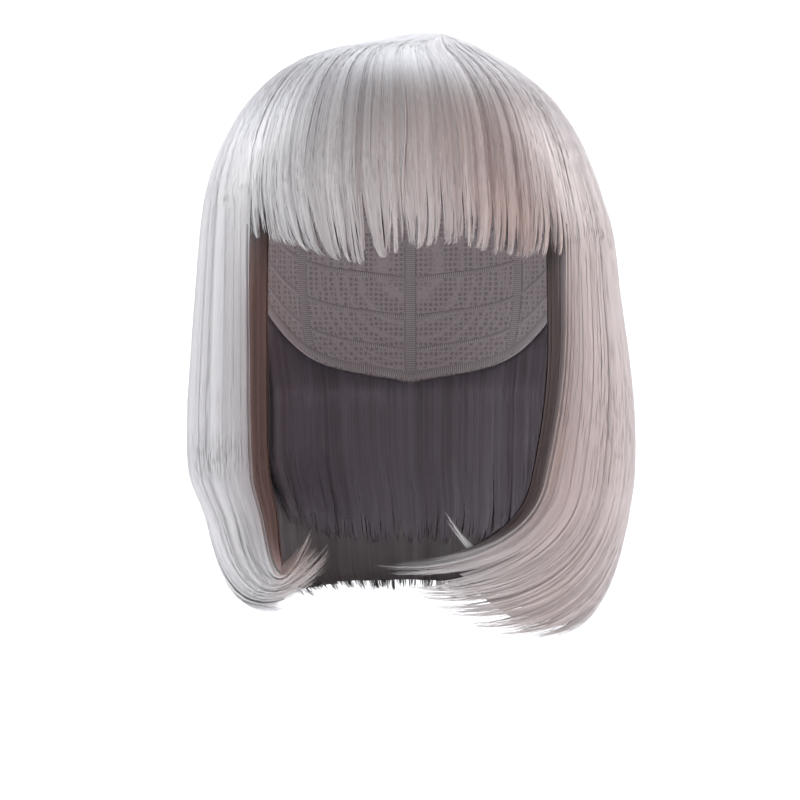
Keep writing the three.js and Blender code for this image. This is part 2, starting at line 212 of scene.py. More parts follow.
@dataclass(frozen=True)
class HairForm:
    """The outer form of the hair, by level sections from the whorl to the ends."""

    cap: Cap = Cap()
    side_offset: float = 26.5
    front_offset: float = 15.5
    back_offset: float = 23
    above_cap: float = 15
    length: float = 277
    power: float = 2.25
    seat_clearance: float = 1.2
    seat_above_widest: float = 8
    seat_fade: float = 24
    # Crown share, fall share, half width, front, back, shift to the left and set back of each section.
    sections: tuple[tuple[float, ...], ...] = (
        (0, 0, 0, 0, 0, 0.085, 0.18),
        (0.048, 0, 0.22, 0.27, 0.22, 0.04, 0.15),
        (0.121, 0, 0.42, 0.53, 0.44, -0.04, 0.1),
        (0.188, 0, 0.53, 0.69, 0.59, -0.05, 0.07),
        (0.323, 0, 0.68, 0.86, 0.77, -0.045, 0.04),
        (0.511, 0, 0.8, 0.965, 0.89, -0.04, 0.015),
        (0.726, 0, 0.88, 1, 0.96, -0.035, 0),
        (0.914, 0, 0.922, 1, 0.99, -0.02, 0),
        (1, 0.109, 0.95, 0.985, 1, -0.015, 0),
        (1, 0.268, 0.98, 0.975, 0.99, -0.005, 0),
        (1, 0.427, 1, 0.965, 0.965, 0, 0),
        (1, 0.57, 0.996, 0.955, 0.935, 0.004, 0),
        (1, 0.682, 0.956, 0.945, 0.92, 0.025, 0),
        (1, 0.809, 0.942, 0.94, 0.91, 0.026, 0),
        (1, 1, 0.93, 0.93, 0.9, 0.03, 0),
    )

    @cached_property
    def crown_height(self) -> float:
        """Returns the height from the cap's widest level to the top of the hair."""
        return self.above_cap + self.cap.crown

    @cached_property
    def seat_end(self) -> float:
        """Returns the drop where the hair has left the cap."""
        return self.crown_height - self.seat_above_widest

    @cached_property
    def curves(self) -> tuple[Curve, ...]:
        """Scales the sections to the cap.

        Returns:
            Half width, front, back, shift and set back, in millimetres, by the root of the drop.
        """
        crown, fall, wide, front, back, shift, set_back = np.array(self.sections, float).T
        run = np.sqrt(crown * self.crown_height + fall * (self.length - self.crown_height))
        half_width = self.cap.breadth / 2 + self.side_offset
        to_front = self.cap.length / 2 - self.cap.set_back + self.front_offset
        to_back = self.cap.length / 2 + self.cap.set_back + self.back_offset
        shares = (wide, front, back, shift, set_back)
        spans = (half_width, to_front, to_back, half_width, to_back)
        return tuple(Curve(run, share * span) for share, span in zip(shares, spans, strict=True))

    def point(self, azimuth: np.ndarray, drop: np.ndarray, inset: np.ndarray) -> np.ndarray:
        """Finds points of the form.

        Args:
            azimuth: Directions round the wig.
            drop: Heights below the top.
            inset: How far they are moved in, towards the middle of their sections.

        Returns:
            The points, with x, y and z last.
        """
        half_width, front, back, shift, set_back = self.curves
        run = np.sqrt(np.maximum(drop, 0))
        across, along = np.sin(np.radians(azimuth)), np.cos(np.radians(azimuth))
        wide = np.maximum(half_width.at(run), NEAR_ZERO)
        deep = np.maximum(np.where(along > 0, front.at(run), back.at(run)), NEAR_ZERO)
        total = (np.abs(across) / wide) ** self.power + (np.abs(along) / deep) ** self.power
        radius = total ** (-1 / self.power) - inset
        x = shift.at(run) + radius * across
        y = set_back.at(run) - radius * along
        return np.stack([x, y, self.above_cap - drop + 0 * radius], axis=-1)

    def seated(self, azimuth: np.ndarray, drop: np.ndarray, seat_end: float) -> np.ndarray:
        """Tells where the hair rests on the cap.

        Args:
            azimuth: Directions round the wig.
            drop: Heights below the top.
            seat_end: The drop where it has left the cap at the latest.

        Returns:
            1 where it is sewn on and 0 where it hangs, with a smooth change between them.
        """
        end = np.minimum(self.cap.rim_depth(azimuth) + self.above_cap, seat_end)
        share = np.clip((drop - end + 0.75 * self.seat_fade) / self.seat_fade, 0, 1)
        return 1 - share * share * (3 - 2 * share)

    def depth_to_seat(self, point: np.ndarray, normal: np.ndarray, reach: float) -> np.ndarray:
        """Measures how far in the seat on the cap lies.

        Args:
            point: Points of the outer form.
            normal: The outward normals there.
            reach: How far in it is looked for.

        Returns:
            The depths, or reach where the seat is further.
        """
        halvings = 12
        margin = self.cap.wall + self.seat_clearance
        near, far = np.zeros(point.shape[:-1]), np.full(point.shape[:-1], reach)
        for _ in range(halvings):
            middle = (near + far) / 2
            outside = self.cap.above(point - normal * middle[..., None], margin) > 0
            near, far = np.where(outside, middle, near), np.where(outside, far, middle)
        return near


@dataclass(frozen=True)
class Ending:
    """How strands of one azimuth end: lean and tip are azimuths, the others shares of lengths."""

    azimuth: float
    lean: float
    tip: float
    drop: float
    reach: float
    dip: float
    late: float = 0


@dataclass(frozen=True)
class StrandFamily:
    """Strands with one root and hang, in stations: 0 is the root, 1 the start of the curl, 2 the tip."""

    form: HairForm
    root: float
    hang: float
    length: float
    endings: tuple[Ending, ...]
    inset: tuple[float, float] = (0, 0)
    curl_reach: float = 34
    curl_start: float = 0.62
    curl_turn: float = 0.42
    curl_in: float = 0.5

    def ending(self, name: str, azimuth: np.ndarray) -> np.ndarray:
        """Reads one of the endings' facts.

        Args:
            name: Its field in Ending.
            azimuth: Where it is read.

        Returns:
            Its values, in millimetres or degrees.
        """
        scale = {"drop": self.length, "reach": self.curl_reach, "dip": self.curl_reach}.get(name, 1)
        keys = np.array([row.azimuth for row in self.endings], float)
        values = np.array([getattr(row, name) for row in self.endings], float)
        return Curve(keys, values * scale).at(azimuth)

    def hanging_drop(self, station: np.ndarray) -> np.ndarray:
        """Returns the drops at stations from 0 to 1."""
        return lerp(math.sqrt(self.root), math.sqrt(self.hang), station) ** 2

    def point(self, azimuth: np.ndarray, station: np.ndarray) -> np.ndarray:
        """Finds points along strands.

        Args:
            azimuth: The strands' azimuths.
            station: Where along them, from 0 to a little over 2.

        Returns:
            The points, with x, y and z last.
        """
        azimuth, station = np.broadcast_arrays(azimuth, station)
        lean = self.ending("lean", azimuth)
        drop = self.hanging_drop(np.clip(station, 0, 1))
        share = (drop - self.root) / (self.hang - self.root)
        seat_end = self.form.seat_end
        leaning = np.maximum((drop - seat_end) / (self.hang - seat_end), 0) ** 2
        hung = self.form.point(azimuth + lean * leaning, drop, lerp(*self.inset, share))

        t = np.maximum(station - 1, 0)
        tip, tip_drop = self.ending("tip", azimuth), self.ending("drop", azimuth)
        reach, dip = self.ending("reach", azimuth), self.ending("dip", azimuth)
        early = 1 - self.ending("late", azimuth)
        weights = ((1 - t) ** 3, 3 * t * (1 - t) ** 2, 3 * t**2 * (1 - t), t**3)
        azimuths = (azimuth + lean, azimuth + lean * 1.5, lerp(azimuth, tip, self.curl_turn * early), tip)
        insets = (self.inset[1], self.inset[1], lerp(self.inset[1], reach, self.curl_in * early), reach)
        drops = (self.hang, lerp(self.hang, tip_drop, self.curl_start), tip_drop + dip, tip_drop)
        azimuth, inset, drop = (
            sum(weight * value for weight, value in zip(weights, values, strict=True))
            for values in (azimuths, insets, drops)
        )
        curled = self.form.point(azimuth, drop, inset)
        return np.where((station <= 1)[..., None], hung, curled)

    def frame(self, azimuth: np.ndarray, station: np.ndarray) -> tuple[np.ndarray, np.ndarray]:
        """Measures how the sheet that the strands form is turned.

        Args:
            azimuth: The strands' azimuths.
            station: Where along them.

        Returns:
            Its outward normals, and the directions across it.
        """
        step, turn = 0.02, 0.4
        low = np.minimum(station, 2 - step)
        down = self.point(azimuth, low + step) - self.point(azimuth, np.maximum(low - step, 0))
        across = self.point(azimuth + turn, station) - self.point(azimuth - turn, station)
        return unit(np.cross(down, across)), unit(across)


@dataclass
class Tubes:
    """Closed tubes of one count of rings and sides, wound so that their faces look outwards."""

    rings: np.ndarray
    normals: np.ndarray
    place: np.ndarray
    strips: np.ndarray

    @property
    def vertex_count(self) -> int:
        """Returns how many points the tubes have."""
        return int(np.prod(self.rings.shape[:3]))

    def corners(self, first: int) -> tuple[list[np.ndarray], list[np.ndarray]]:
        """Lists the faces.

        Args:
            first: The number of the tubes' first point in the whole mesh.

        Returns:
            The faces as arrays of points, and for each array the corners' places on the bake map.
        """
        tubes, rings, sides, _ = self.rings.shape
        tube, ring, side = np.meshgrid(
            np.arange(tubes), np.arange(rings - 1), np.arange(sides), indexing="ij"
        )
        start, wide = self.strips[:, 0], self.strips[:, 1] - self.strips[:, 0]
        around, spots = [], []
        for step, further in ((0, 0), (1, 0), (1, 1), (0, 1)):
            around.append(first + (tube * rings + ring + further) * sides + (side + step) % sides)
            u = start[tube] + wide[tube] * (side + step) / sides
            spots.append(np.stack([u, (ring + further) / (rings - 1)], axis=-1))
        walls = np.stack(around, axis=-1).reshape(-1, 4)
        wall_spots = np.stack(spots, axis=-2).reshape(-1, 4, 2)

        base = first + np.arange(tubes)[:, None] * rings * sides
        span = np.arange(sides)
        head = base + span[::-1]
        tail = base + (rings - 1) * sides + span
        end_height = 0.002
        head_spots = np.zeros((tubes, sides, 2))
        head_spots[..., 0] = start[:, None] + wide[:, None] * span / sides
        head_spots[..., 1] = end_height * (span % 2)
        tail_spots = head_spots.copy()
        tail_spots[..., 1] = 1 - head_spots[..., 1]
        return [walls, head, tail], [wall_spots, head_spots, tail_spots]


def mesh_piece(name: str, bundles: list[Tubes], material: bpy.types.Material) -> bpy.types.Object:
    """Joins bundles of tubes into one mesh object.

    Args:
        name: The piece's name.
        bundles: The tubes.
        material: Its material.

    Returns:
        The new object, linked to the scene.
    """
    first, faces, uvs = 0, [], []
    for bundle in bundles:
        new_faces, new_uvs = bundle.corners(first)
        faces += new_faces
        uvs += new_uvs
        first += bundle.vertex_count
    loops = np.concatenate([f.ravel() for f in faces]).astype(np.int32)
    totals = np.concatenate([np.full(len(f), f.shape[1]) for f in faces])
    mesh = bpy.data.meshes.new(name)
    mesh.vertices.add(first)
    points = np.concatenate([b.rings.reshape(-1, 3) for b in bundles])
    mesh.vertices.foreach_set("co", (points * METRES).astype(np.float32).ravel())
    mesh.loops.add(len(loops))
    mesh.loops.foreach_set("vertex_index", loops)
    mesh.polygons.add(len(totals))
    mesh.polygons.foreach_set("loop_start", (np.cumsum(totals) - totals).astype(np.int32))
    mesh.polygons.foreach_set("use_smooth", np.ones(len(totals), bool))
    mesh.update(calc_edges=True)
    places = np.concatenate([b.place.reshape(-1, 3) for b in bundles]).astype(np.float32)
    mesh.attributes.new(PLACE, "FLOAT_VECTOR", "POINT").data.foreach_set("vector", places.ravel())
    bake_map = mesh.uv_layers.new(name=BAKE_MAP)
    spots = np.concatenate([u.reshape(-1, 2) for u in uvs]).astype(np.float32)
    bake_map.uv.foreach_set("vector", spots.ravel())
    normals = unit(np.concatenate([b.normals.reshape(-1, 3) for b in bundles]))
    mesh.normals_split_custom_set_from_vertices(normals.tolist())
    mesh.materials.append(material)
    piece = bpy.data.objects.new(name, mesh)
    bpy.context.scene.collection.objects.link(piece)
    return piece


def strand_tubes(
    centres: np.ndarray, facing: np.ndarray, width: np.ndarray, place: np.ndarray, first_strip: float
) -> Tubes:
    """Makes strands as flattened tubes of three sides, sorted by tone for the bake map.

    Args:
        centres: Points along each strand.
        facing: The outward normals there, of the sheet that the strand lies in.
        width: The strands' widths there.
        place: For the material at each point: across, along and the strand's tone.
        first_strip: Where their part of the bake map starts.

    Returns:
        The tubes. Their shading follows the sheet more than their own roundness, as fine hair's does.
    """
    flatness, own_round = 0.24, 0.08
    peak_share, foot_share = 1.6, 0.8
    tangent = unit(np.gradient(centres, axis=1))
    across = unit(np.cross(tangent, facing))
    out = np.cross(across, tangent)
    half = width[..., None] / 2
    peak = centres + out * half * flatness * peak_share
    low = centres - out * half * flatness * foot_share
    rings = np.stack([peak, low + across * half, low - across * half], axis=2)
    tilt = across * own_round
    normals = np.stack([facing, facing + tilt, facing - tilt], axis=2)
    order = np.argsort(place[:, 0, 2])
    edges = np.linspace(first_strip, 1, len(order) + 1)
    strips = np.stack([edges[:-1], edges[1:]], axis=-1)
    places = np.repeat(place[:, :, None], 3, axis=2)
    return Tubes(rings[order], unit(normals)[order], places[order], strips)


def dress(piece: bpy.types.Object, node: str) -> None:
    """Makes a piece ride on the wig and stand for its node.

    Args:
        piece: The piece.
        node: The solid that it stands for.
    """
    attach(piece, "root")
    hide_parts(node)
    triangles = sum(len(face.vertices) - 2 for face in piece.data.polygons)
    LOG.info("%s: %d triangles for %s", piece.name, triangles, node)


class Lying(Enum):
    """Where in its sheet a strand lies."""

    OUTSIDE = "outside"
    INSIDE = "inside"
    FIRST_EDGE = "first edge"
    LAST_EDGE = "last edge"
    FLYAWAY = "flyaway"
    STRAY = "stray"


@dataclass(frozen=True)
class Styling:
    """How a sheet's strands are combed, cut and coloured.

    wisp_width and swing are degrees, gather the share of a wisp's width that is left at its tip, ends the
    stations of the shortest and longest wisps, feather how many stations a strand may fall short of its
    wisp, thinning how few strands do, droop how far a wisp's tip strays up or down, relief the share of the
    locks' own relief, layer the depth that strands lie in and widths theirs. tone and contrast place the
    shades, and painted_light_ends is how much painted light makes the ends paler. The body of hair under
    the strands ends at the station under_end, where its locks keep under_width of their width.
    """

    wisp_width: float = 2.4
    gather: float = 0.6
    swing: float = 0.5
    ends: tuple[float, float] = (1.9, 2.06)
    feather: float = 0.28
    thinning: float = 1.7
    droop: float = 1.5
    relief: float = 0.1
    layer: float = 0.4
    widths: tuple[float, float] = (0.26, 0.5)
    tone: float = 0.56
    contrast: float = 0.035
    painted_light_ends: float = 0.1
    under_end: float = 1.7
    under_width: float = 0.55


@dataclass
class HairSheet:
    """A sheet of locks side by side: a body of hair, and fine strands in wisps over it.

    It goes from azimuth start to end. Its locks part at the station split. skin is how far the body lies
    under the outer form, overlap how many degrees strands go past a closed edge, edge how many the body
    keeps from an open one, and bared_from the station where such an edge comes out from under its
    neighbour. spacing gives the share of a strand's rings that lie before each station.
    """

    name: str
    node: str
    slot: str
    family: StrandFamily
    start: float
    end: float
    locks: int
    seed: int
    depth: float
    split: float
    seat_end: float
    strands: dict[Lying, int]
    rings: int
    spacing: tuple[tuple[float, float], ...]
    edge: float = 0.1
    styling: Styling = Styling()
    stray: StrandFamily | None = None
    lock_relief: float = 2.6
    tip_depth: float = 1.8
    tip_spread: float = 0.15
    skin: float = 0.5
    overlap: float = 1.0
    bared_from: float = 0.42
    open_edges: tuple[bool, bool] = (False, False)
    edge_darkness: float = 0.24
    edge_fade: float = 3.5
    streaks: tuple[tuple[float, float], ...] = ((0.45, 0.45), (0.9, 0.7), (2.4, 0.6), (6, 0.5))
    random: np.random.Generator = field(init=False)

    def __post_init__(self) -> None:
        """Seeds the sheet's random draws."""
        self.random = np.random.default_rng(self.seed)

    @cached_property
    def wisps(self) -> np.ndarray:
        """Parts the sheet into wisps of uneven width.

        Returns:
            The azimuths of its edges and of the partings between them.
        """
        unevenness = 0.45
        span = self.end - self.start
        count = max(round(span / self.styling.wisp_width), 2)
        widths = np.random.default_rng(self.seed + 100).lognormal(0, unevenness, count)
        return self.start + span * np.concatenate([[0], np.cumsum(widths)]) / widths.sum()

    def parting(self, index: np.ndarray) -> np.ndarray:
        """Finds the partings between locks, which wander a little.

        Args:
            index: The numbers of the locks that follow them.

        Returns:
            Their azimuths.
        """
        wander = 0.4
        inner = (index > 0) & (index < self.locks)
        moved = index + np.where(inner, (scatter(self.seed, index) - 0.5) * wander, 0)
        return self.start + (self.end - self.start) * moved / self.locks

    def past_split(self, station: np.ndarray) -> np.ndarray:
        """Returns the share of the way from where the locks part to their tips."""
        return np.clip((station - self.split) / (LOCK_TIP - self.split), 0, 1)

    def ripple(self, azimuth: np.ndarray, spacing: float) -> np.ndarray:
        """Returns random heights of about 1 that change smoothly round the wig, from sheet to sheet.

        Args:
            azimuth: Where they are read.
            spacing: How many degrees apart they are drawn.

        Returns:
            The heights.
        """
        knots = np.arange(0, 360, spacing)
        heights = np.random.default_rng(round(spacing * 100)).normal(0, 1, len(knots))
        return np.interp(azimuth, knots, heights, period=360)

    def shade(self, azimuth: np.ndarray) -> np.ndarray:
        """Returns the tones of the hair, before each strand's own difference."""
        streaks = sum(share * self.ripple(azimuth, width) for width, share in self.streaks)
        return self.styling.tone + self.styling.contrast * streaks

    def edge_shade(self, azimuth: np.ndarray, station: np.ndarray) -> np.ndarray:
        """Darkens the hair near the sheet's open edges, where it turns in out of the light.

        Args:
            azimuth: Directions round the wig.
            station: Where along the strands.

        Returns:
            How much lower its tones are there.
        """
        near = sum(
            np.exp(-np.abs(azimuth - edge) / self.edge_fade)
            for edge, is_open in zip((self.start, self.end), self.open_edges, strict=True)
            if is_open
        )
        below_fringe, above_curl = smoothstep(station, 0.55, 0.8), 1 - smoothstep(station, 1.3, 1.7)
        return self.edge_darkness * near * below_fringe * above_curl

    def relief(self, azimuth: np.ndarray, station: np.ndarray) -> np.ndarray:
        """Returns how far in the outer side lies for the rounding of its locks.

        Args:
            azimuth: The strands' azimuths, before their locks narrow.
            station: Where along them.

        Returns:
            Depths under the outer form.
        """
        edges = self.parting(np.arange(self.locks + 1))
        lock = np.clip(np.searchsorted(edges, azimuth, side="right") - 1, 0, self.locks - 1)
        across = np.clip((azimuth - edges[lock]) / (edges[lock + 1] - edges[lock]), 0, 1)
        crest = (1 - (2 * across - 1) ** 2) * lerp(0.55, 1, scatter(self.seed + 9, lock))
        fullest = self.lock_relief * smoothstep(station, 0, 0.35) * lerp(1, 0.25, self.past_split(station))
        return self.styling.relief * fullest * (1 - crest)

    def thickness(
        self, azimuth: np.ndarray, station: np.ndarray, base: np.ndarray, normal: np.ndarray
    ) -> np.ndarray:
        """Measures the depth of the sheet, which goes down to the cap where it is sewn on.

        Args:
            azimuth: Directions round the wig.
            station: Where along the strands.
            base: The points of the outer form there.
            normal: The outward normals there.

        Returns:
            Its depths.
        """
        thinned = np.maximum(np.maximum(station - 1, self.past_split(station)), 0) ** 1.2
        free = lerp(self.depth, self.tip_depth, np.clip(thinned, 0, 1))
        seat = self.family.form.depth_to_seat(base, normal, 2 * self.depth)
        drop = self.family.form.above_cap - base[..., 2]
        rest = np.where(station > 1, 0, self.family.form.seated(azimuth, drop, self.seat_end))
        return lerp(np.minimum(free, seat), seat, rest)

    def stations(self, start: np.ndarray, end: np.ndarray, rings: int) -> np.ndarray:
        """Spaces rings along strands, closer together where the form bends more.

        Args:
            start: The strands' first stations.
            end: Their last stations.
            rings: How many rings each has.

        Returns:
            The rings' stations, one row for each strand.
        """
        stations, shares = np.array(self.spacing).T
        first, last = (np.interp(at, stations, shares)[:, None] for at in (start, end))
        return np.interp(lerp(first, last, np.linspace(0, 1, rings)), shares, stations)

    def body(self) -> Tubes:
        """Builds the body of hair under the strands, lock by lock, which thins out before the tips.

        Returns:
            A tube for each lock.
        """
        columns, rings, thin, taper = 11, 36, 0.3, 0.4
        closed_edge, under_strand_shade, inner_shadow = 0.1, 0.02, 0.2
        lock = np.arange(self.locks)
        left, right = self.parting(lock), self.parting(lock + 1)
        spread = 1 + (scatter(self.seed + 5, lock) - 0.5) * self.tip_spread
        end = self.styling.under_end + (spread - 1) * (LOCK_TIP - self.split)
        station = self.stations(np.zeros(self.locks), end, rings)[:, :, None]
        finished = np.clip((station - end[:, None, None] + taper) / taper, 0, 1)
        across = np.linspace(1, 0, columns)
        middle = (left + right)[:, None, None] / 2
        free = left[:, None, None] + (right - left)[:, None, None] * across
        bared = smoothstep(station, 0.45, 0.7)
        first_bared, last_bared = (
            bared * (self.edge if is_open else closed_edge) for is_open in self.open_edges
        )
        free = np.clip(free, self.start + first_bared, self.end - last_bared)
        azimuth = middle + (free - middle) * lerp(1, self.styling.under_width, finished**1.6)
        base = self.family.point(azimuth, station)
        normal, _ = self.family.frame(azimuth, station)
        thickness = self.thickness(azimuth, station, base, normal)
        outer = self.skin + self.relief(free, station)
        outer = lerp(outer, np.maximum(thickness / 2, outer), finished**1.5)
        inner = lerp(thickness - self.skin, thickness / 2 + thin, finished**1.5)
        inner = np.maximum(inner, outer + thin)
        sides = [base - normal * outer[..., None], (base - normal * inner[..., None])[:, :, ::-1]]
        facing = [normal, -normal[:, :, ::-1]]
        # Painted shade: the body is a little darker than the strands over it, and its inner side is darker
        # still.
        tone = self.shade(free) - under_strand_shade - self.edge_shade(free, station)
        place = np.stack(np.broadcast_arrays(free * DEGREE, station * STATION, tone), axis=-1)
        place = np.concatenate([place, place[:, :, ::-1] - [0, 0, inner_shadow]], axis=2)
        edges = np.linspace(0, BODY_STRIP, self.locks + 1)
        strips = np.stack([edges[:-1], edges[1:]], axis=-1)
        return Tubes(np.concatenate(sides, axis=2), np.concatenate(facing, axis=2), place, strips)

    def strand_starts(self, count: int) -> np.ndarray:
        """Draws where strands start, so that the hair is equally dense as the form widens.

        Args:
            count: How many strands there are.

        Returns:
            Their first stations.
        """
        station = np.linspace(0, 1, 60)
        middle = (self.start + self.end) / 2
        turn = (self.end - self.start) / 2
        ends = self.family.point(middle + turn, station) - self.family.point(middle - turn, station)
        wide = np.maximum.accumulate(np.linalg.norm(ends, axis=-1))
        share = np.clip(self.random.random(count) * 1.02, 0, 1)
        return np.interp(share * wide[-1], wide, station, left=0)

    def combed(self, where: Lying, count: int) -> np.ndarray:
        """Draws the azimuths of strands.

        Args:
            where: Which part of the sheet they are in.
            count: How many there are.

        Returns:
            The azimuths.
        """
        draw = self.random.random(count)
        edge_band, stray_band = 0.5, 2
        match where:
            case Lying.FIRST_EDGE:
                return self.start + edge_band * draw
            case Lying.LAST_EDGE:
                return self.end - edge_band * draw
            case Lying.STRAY:
                return self.start + edge_band + stray_band * draw
        first, last = self.start - self.overlap, self.end + self.overlap
        return first + (last - first) * (np.arange(count) + draw) / count

    def depths(self, where: Lying, thickness: np.ndarray, past: np.ndarray, own: np.ndarray) -> np.ndarray:
        """Draws how deep in the sheet strands lie.

        Args:
            where: Which part of the sheet they are in.
            thickness: The sheet's depth at each point.
            past: How far past the split each point is, up to 1.
            own: The share along its strand.

        Returns:
            Depths under the outer form.
        """
        draw = self.random.random((len(own), 1))
        match where:
            case Lying.INSIDE:
                return thickness - 0.95 * draw
            case Lying.FIRST_EDGE | Lying.LAST_EDGE:
                return thickness * draw
            case Lying.FLYAWAY:
                return -1.6 * draw * np.sin(math.pi * own) + 0.3
            case Lying.STRAY:
                return 0.6 + 2.4 * draw
        whole = np.maximum(thickness, self.styling.layer)
        return draw**1.3 * lerp(self.styling.layer, whole, 0.85 * past**2)

    def spans(
        self, where: Lying, wisp_end: np.ndarray, lock: np.ndarray, off_centre: np.ndarray
    ) -> tuple[np.ndarray, np.ndarray]:
        """Draws where strands start and end.

        Args:
            where: Which part of the sheet they are in.
            wisp_end: The last stations of their wisps.
            lock: The numbers of their locks.
            off_centre: How far from the middle of its wisp each is, up to 1.

        Returns:
            Their first and last stations.
        """
        longest, stray_start, flyaway_share = 2.05, 1.3, 0.5
        count = len(wisp_end)
        lock_end = (scatter(self.seed + 5, lock) - 0.5) * self.tip_spread * (LOCK_TIP - self.split)
        short = 0.4 * off_centre**2 + 0.8 * self.random.random(count) ** self.styling.thinning
        end = wisp_end + lock_end - self.styling.feather * short
        end = np.clip(end, self.split + 0.1, longest)
        start = self.strand_starts(count)
        if where in (Lying.INSIDE, Lying.FIRST_EDGE, Lying.LAST_EDGE):
            start = np.maximum(start, self.bared_from)
        elif where is Lying.STRAY:
            start = np.full(count, stray_start)
        elif where is Lying.FLYAWAY:
            start, end = start * flyaway_share, end - flyaway_share * self.random.random(count)
        return start, end

    def tones(
        self, where: Lying, azimuth: np.ndarray, station: np.ndarray, depth: np.ndarray, past: np.ndarray
    ) -> np.ndarray:
        """Draws strands' tones: painted shade in the sheet's depth, painted light at the ends and on
        strays.

        Args:
            where: Which part of the sheet they are in.
            azimuth: Their azimuths.
            station: The station of each point.
            depth: How deep in the sheet each point lies.
            past: How far past the combed part each point is, up to 1.

        Returns:
            The tone of each point.
        """
        strand_share, stray_painted_light = 0.35, 0.25
        own_tone = self.random.normal(0, 1, len(azimuth))
        tone = self.shade(azimuth) + self.styling.contrast * strand_share * own_tone
        # Painted light: the stray wisp is painted paler than the hair round it.
        if where is Lying.STRAY:
            tone += stray_painted_light
        # Painted shade: strands at the edges and inside the sheet are darker the deeper they lie.
        depth_shade = {Lying.FIRST_EDGE: 0.6, Lying.LAST_EDGE: 0.6, Lying.INSIDE: 0.3}.get(where, 0)
        tones = tone[:, None] - depth_shade * np.clip(depth / self.depth, 0, 1) ** 0.6
        # Painted light: thin ends let light through, so they are painted paler.
        return tones + self.styling.painted_light_ends * past**2 - self.edge_shade(azimuth[:, None], station)

    def fine_strands(self, where: Lying, count: int) -> tuple[np.ndarray, ...]:
        """Lays out fine strands in wisps.

        Args:
            where: Which part of the sheet they are in.
            count: How many.

        Returns:
            The strands' points, the directions that they face, their widths and their places for the
            material.
        """
        draw, styling = self.random, self.styling
        tucked_in = 0.1
        family = self.stray if where is Lying.STRAY and self.stray else self.family
        azimuth = self.combed(where, count)
        bounds = self.wisps
        wisp_count = len(bounds) - 1
        wisp = np.clip(np.searchsorted(bounds, azimuth, side="right") - 1, 0, wisp_count - 1)
        centre = (bounds[wisp] + bounds[wisp + 1]) / 2
        off_centre = np.clip(2 * (azimuth - centre) / (bounds[wisp + 1] - bounds[wisp]), -1, 1)
        lock_edges = self.parting(np.arange(self.locks + 1))
        lock = np.clip(np.searchsorted(lock_edges, centre, side="right") - 1, 0, self.locks - 1)
        lock_middle = (lock_edges[lock] + lock_edges[lock + 1]) / 2

        wisp_draw = np.random.default_rng(self.seed + 200)
        wisp_end = lerp(*styling.ends, wisp_draw.random(wisp_count))[wisp]
        wisp_swing = wisp_draw.normal(0, styling.swing, wisp_count)[wisp]
        wisp_droop = wisp_draw.normal(0, styling.droop, wisp_count)[wisp]
        start, end = self.spans(where, wisp_end, lock, off_centre)
        station = self.stations(start, end, self.rings)
        own = (station - start[:, None]) / (end - start)[:, None]
        comb_start = self.split - 0.3
        past = np.clip((station - comb_start) / (wisp_end[:, None] - comb_start), 0, 1)

        locked = (centre - lock_middle)[:, None] * lerp(1, 0.85, past**1.5)
        gathered = (azimuth - centre)[:, None] * lerp(1, styling.gather, past**1.3)
        calm = np.clip(np.minimum(azimuth - self.start, self.end - azimuth) / 3, 0.25, 1)
        splay = (calm * (wisp_swing + draw.normal(0, 0.5 * styling.swing, count)))[:, None] * past**2
        loose = 1.2 if where is Lying.FLYAWAY else 0.1
        turns, phase = draw.uniform(0.4, 1.1, (count, 1)), draw.random((count, 1))
        wave = np.sin(2 * math.pi * (own * turns + phase))
        wander = draw.normal(0, loose, (count, 1)) * wave * smoothstep(own, 0, 0.3)
        turned = lock_middle[:, None] + locked + gathered + splay + wander
        past_edges = [
            lerp(self.overlap + 0.2, 0.15, smoothstep(station, 0.5, 0.7) if is_open else 0)
            for is_open in self.open_edges
        ]
        turned = np.clip(turned, self.start - past_edges[0], self.end + past_edges[1])
        base = family.point(turned, station)
        normal, across = family.frame(turned, station)

        thickness = self.thickness(turned, station, base, normal)
        rounding = self.relief(azimuth[:, None], station)
        rising = (styling.layer + 0.6) * (1 - smoothstep(own, 0.0, 0.1)) * (start[:, None] > 0.01)
        depth = self.depths(where, thickness, past, own)
        if where is Lying.OUTSIDE:
            depth = depth + rounding + rising
        if where is not Lying.FLYAWAY:
            depth = np.minimum(depth, np.maximum(thickness - tucked_in, 2 * tucked_in))
        centres = base - normal * depth[..., None]
        centres[..., 2] += (wisp_droop + draw.normal(0, 0.5 * styling.droop, count))[:, None] * past**3
        turned_away = {Lying.INSIDE: -normal, Lying.FIRST_EDGE: -across, Lying.LAST_EDGE: across}
        facing = turned_away.get(where, normal)

        tones = self.tones(where, azimuth, station, depth, past)
        width = draw.uniform(*styling.widths, (count, 1))
        width = width * (0.7 + 0.3 * smoothstep(own, 0, 0.3)) * (1 - smoothstep(own, 0.84, 1.0) * 0.85)
        across_place = np.broadcast_to((azimuth * STRAND_DEGREE)[:, None], own.shape)
        return centres, facing, width, np.stack([across_place, station * STATION, tones], axis=-1)

    def build(self, material: bpy.types.Material) -> bpy.types.Object:
        """Makes the sheet as one piece that stands for its node.

        Args:
            material: The fibre.

        Returns:
            The piece.
        """
        parts = [self.fine_strands(where, count) for where, count in self.strands.items()]
        joined = (np.concatenate(values) for values in zip(*parts, strict=True))
        piece = mesh_piece(self.name, [self.body(), strand_tubes(*joined, BODY_STRIP)], material)
        dress(piece, self.node)
        return piece


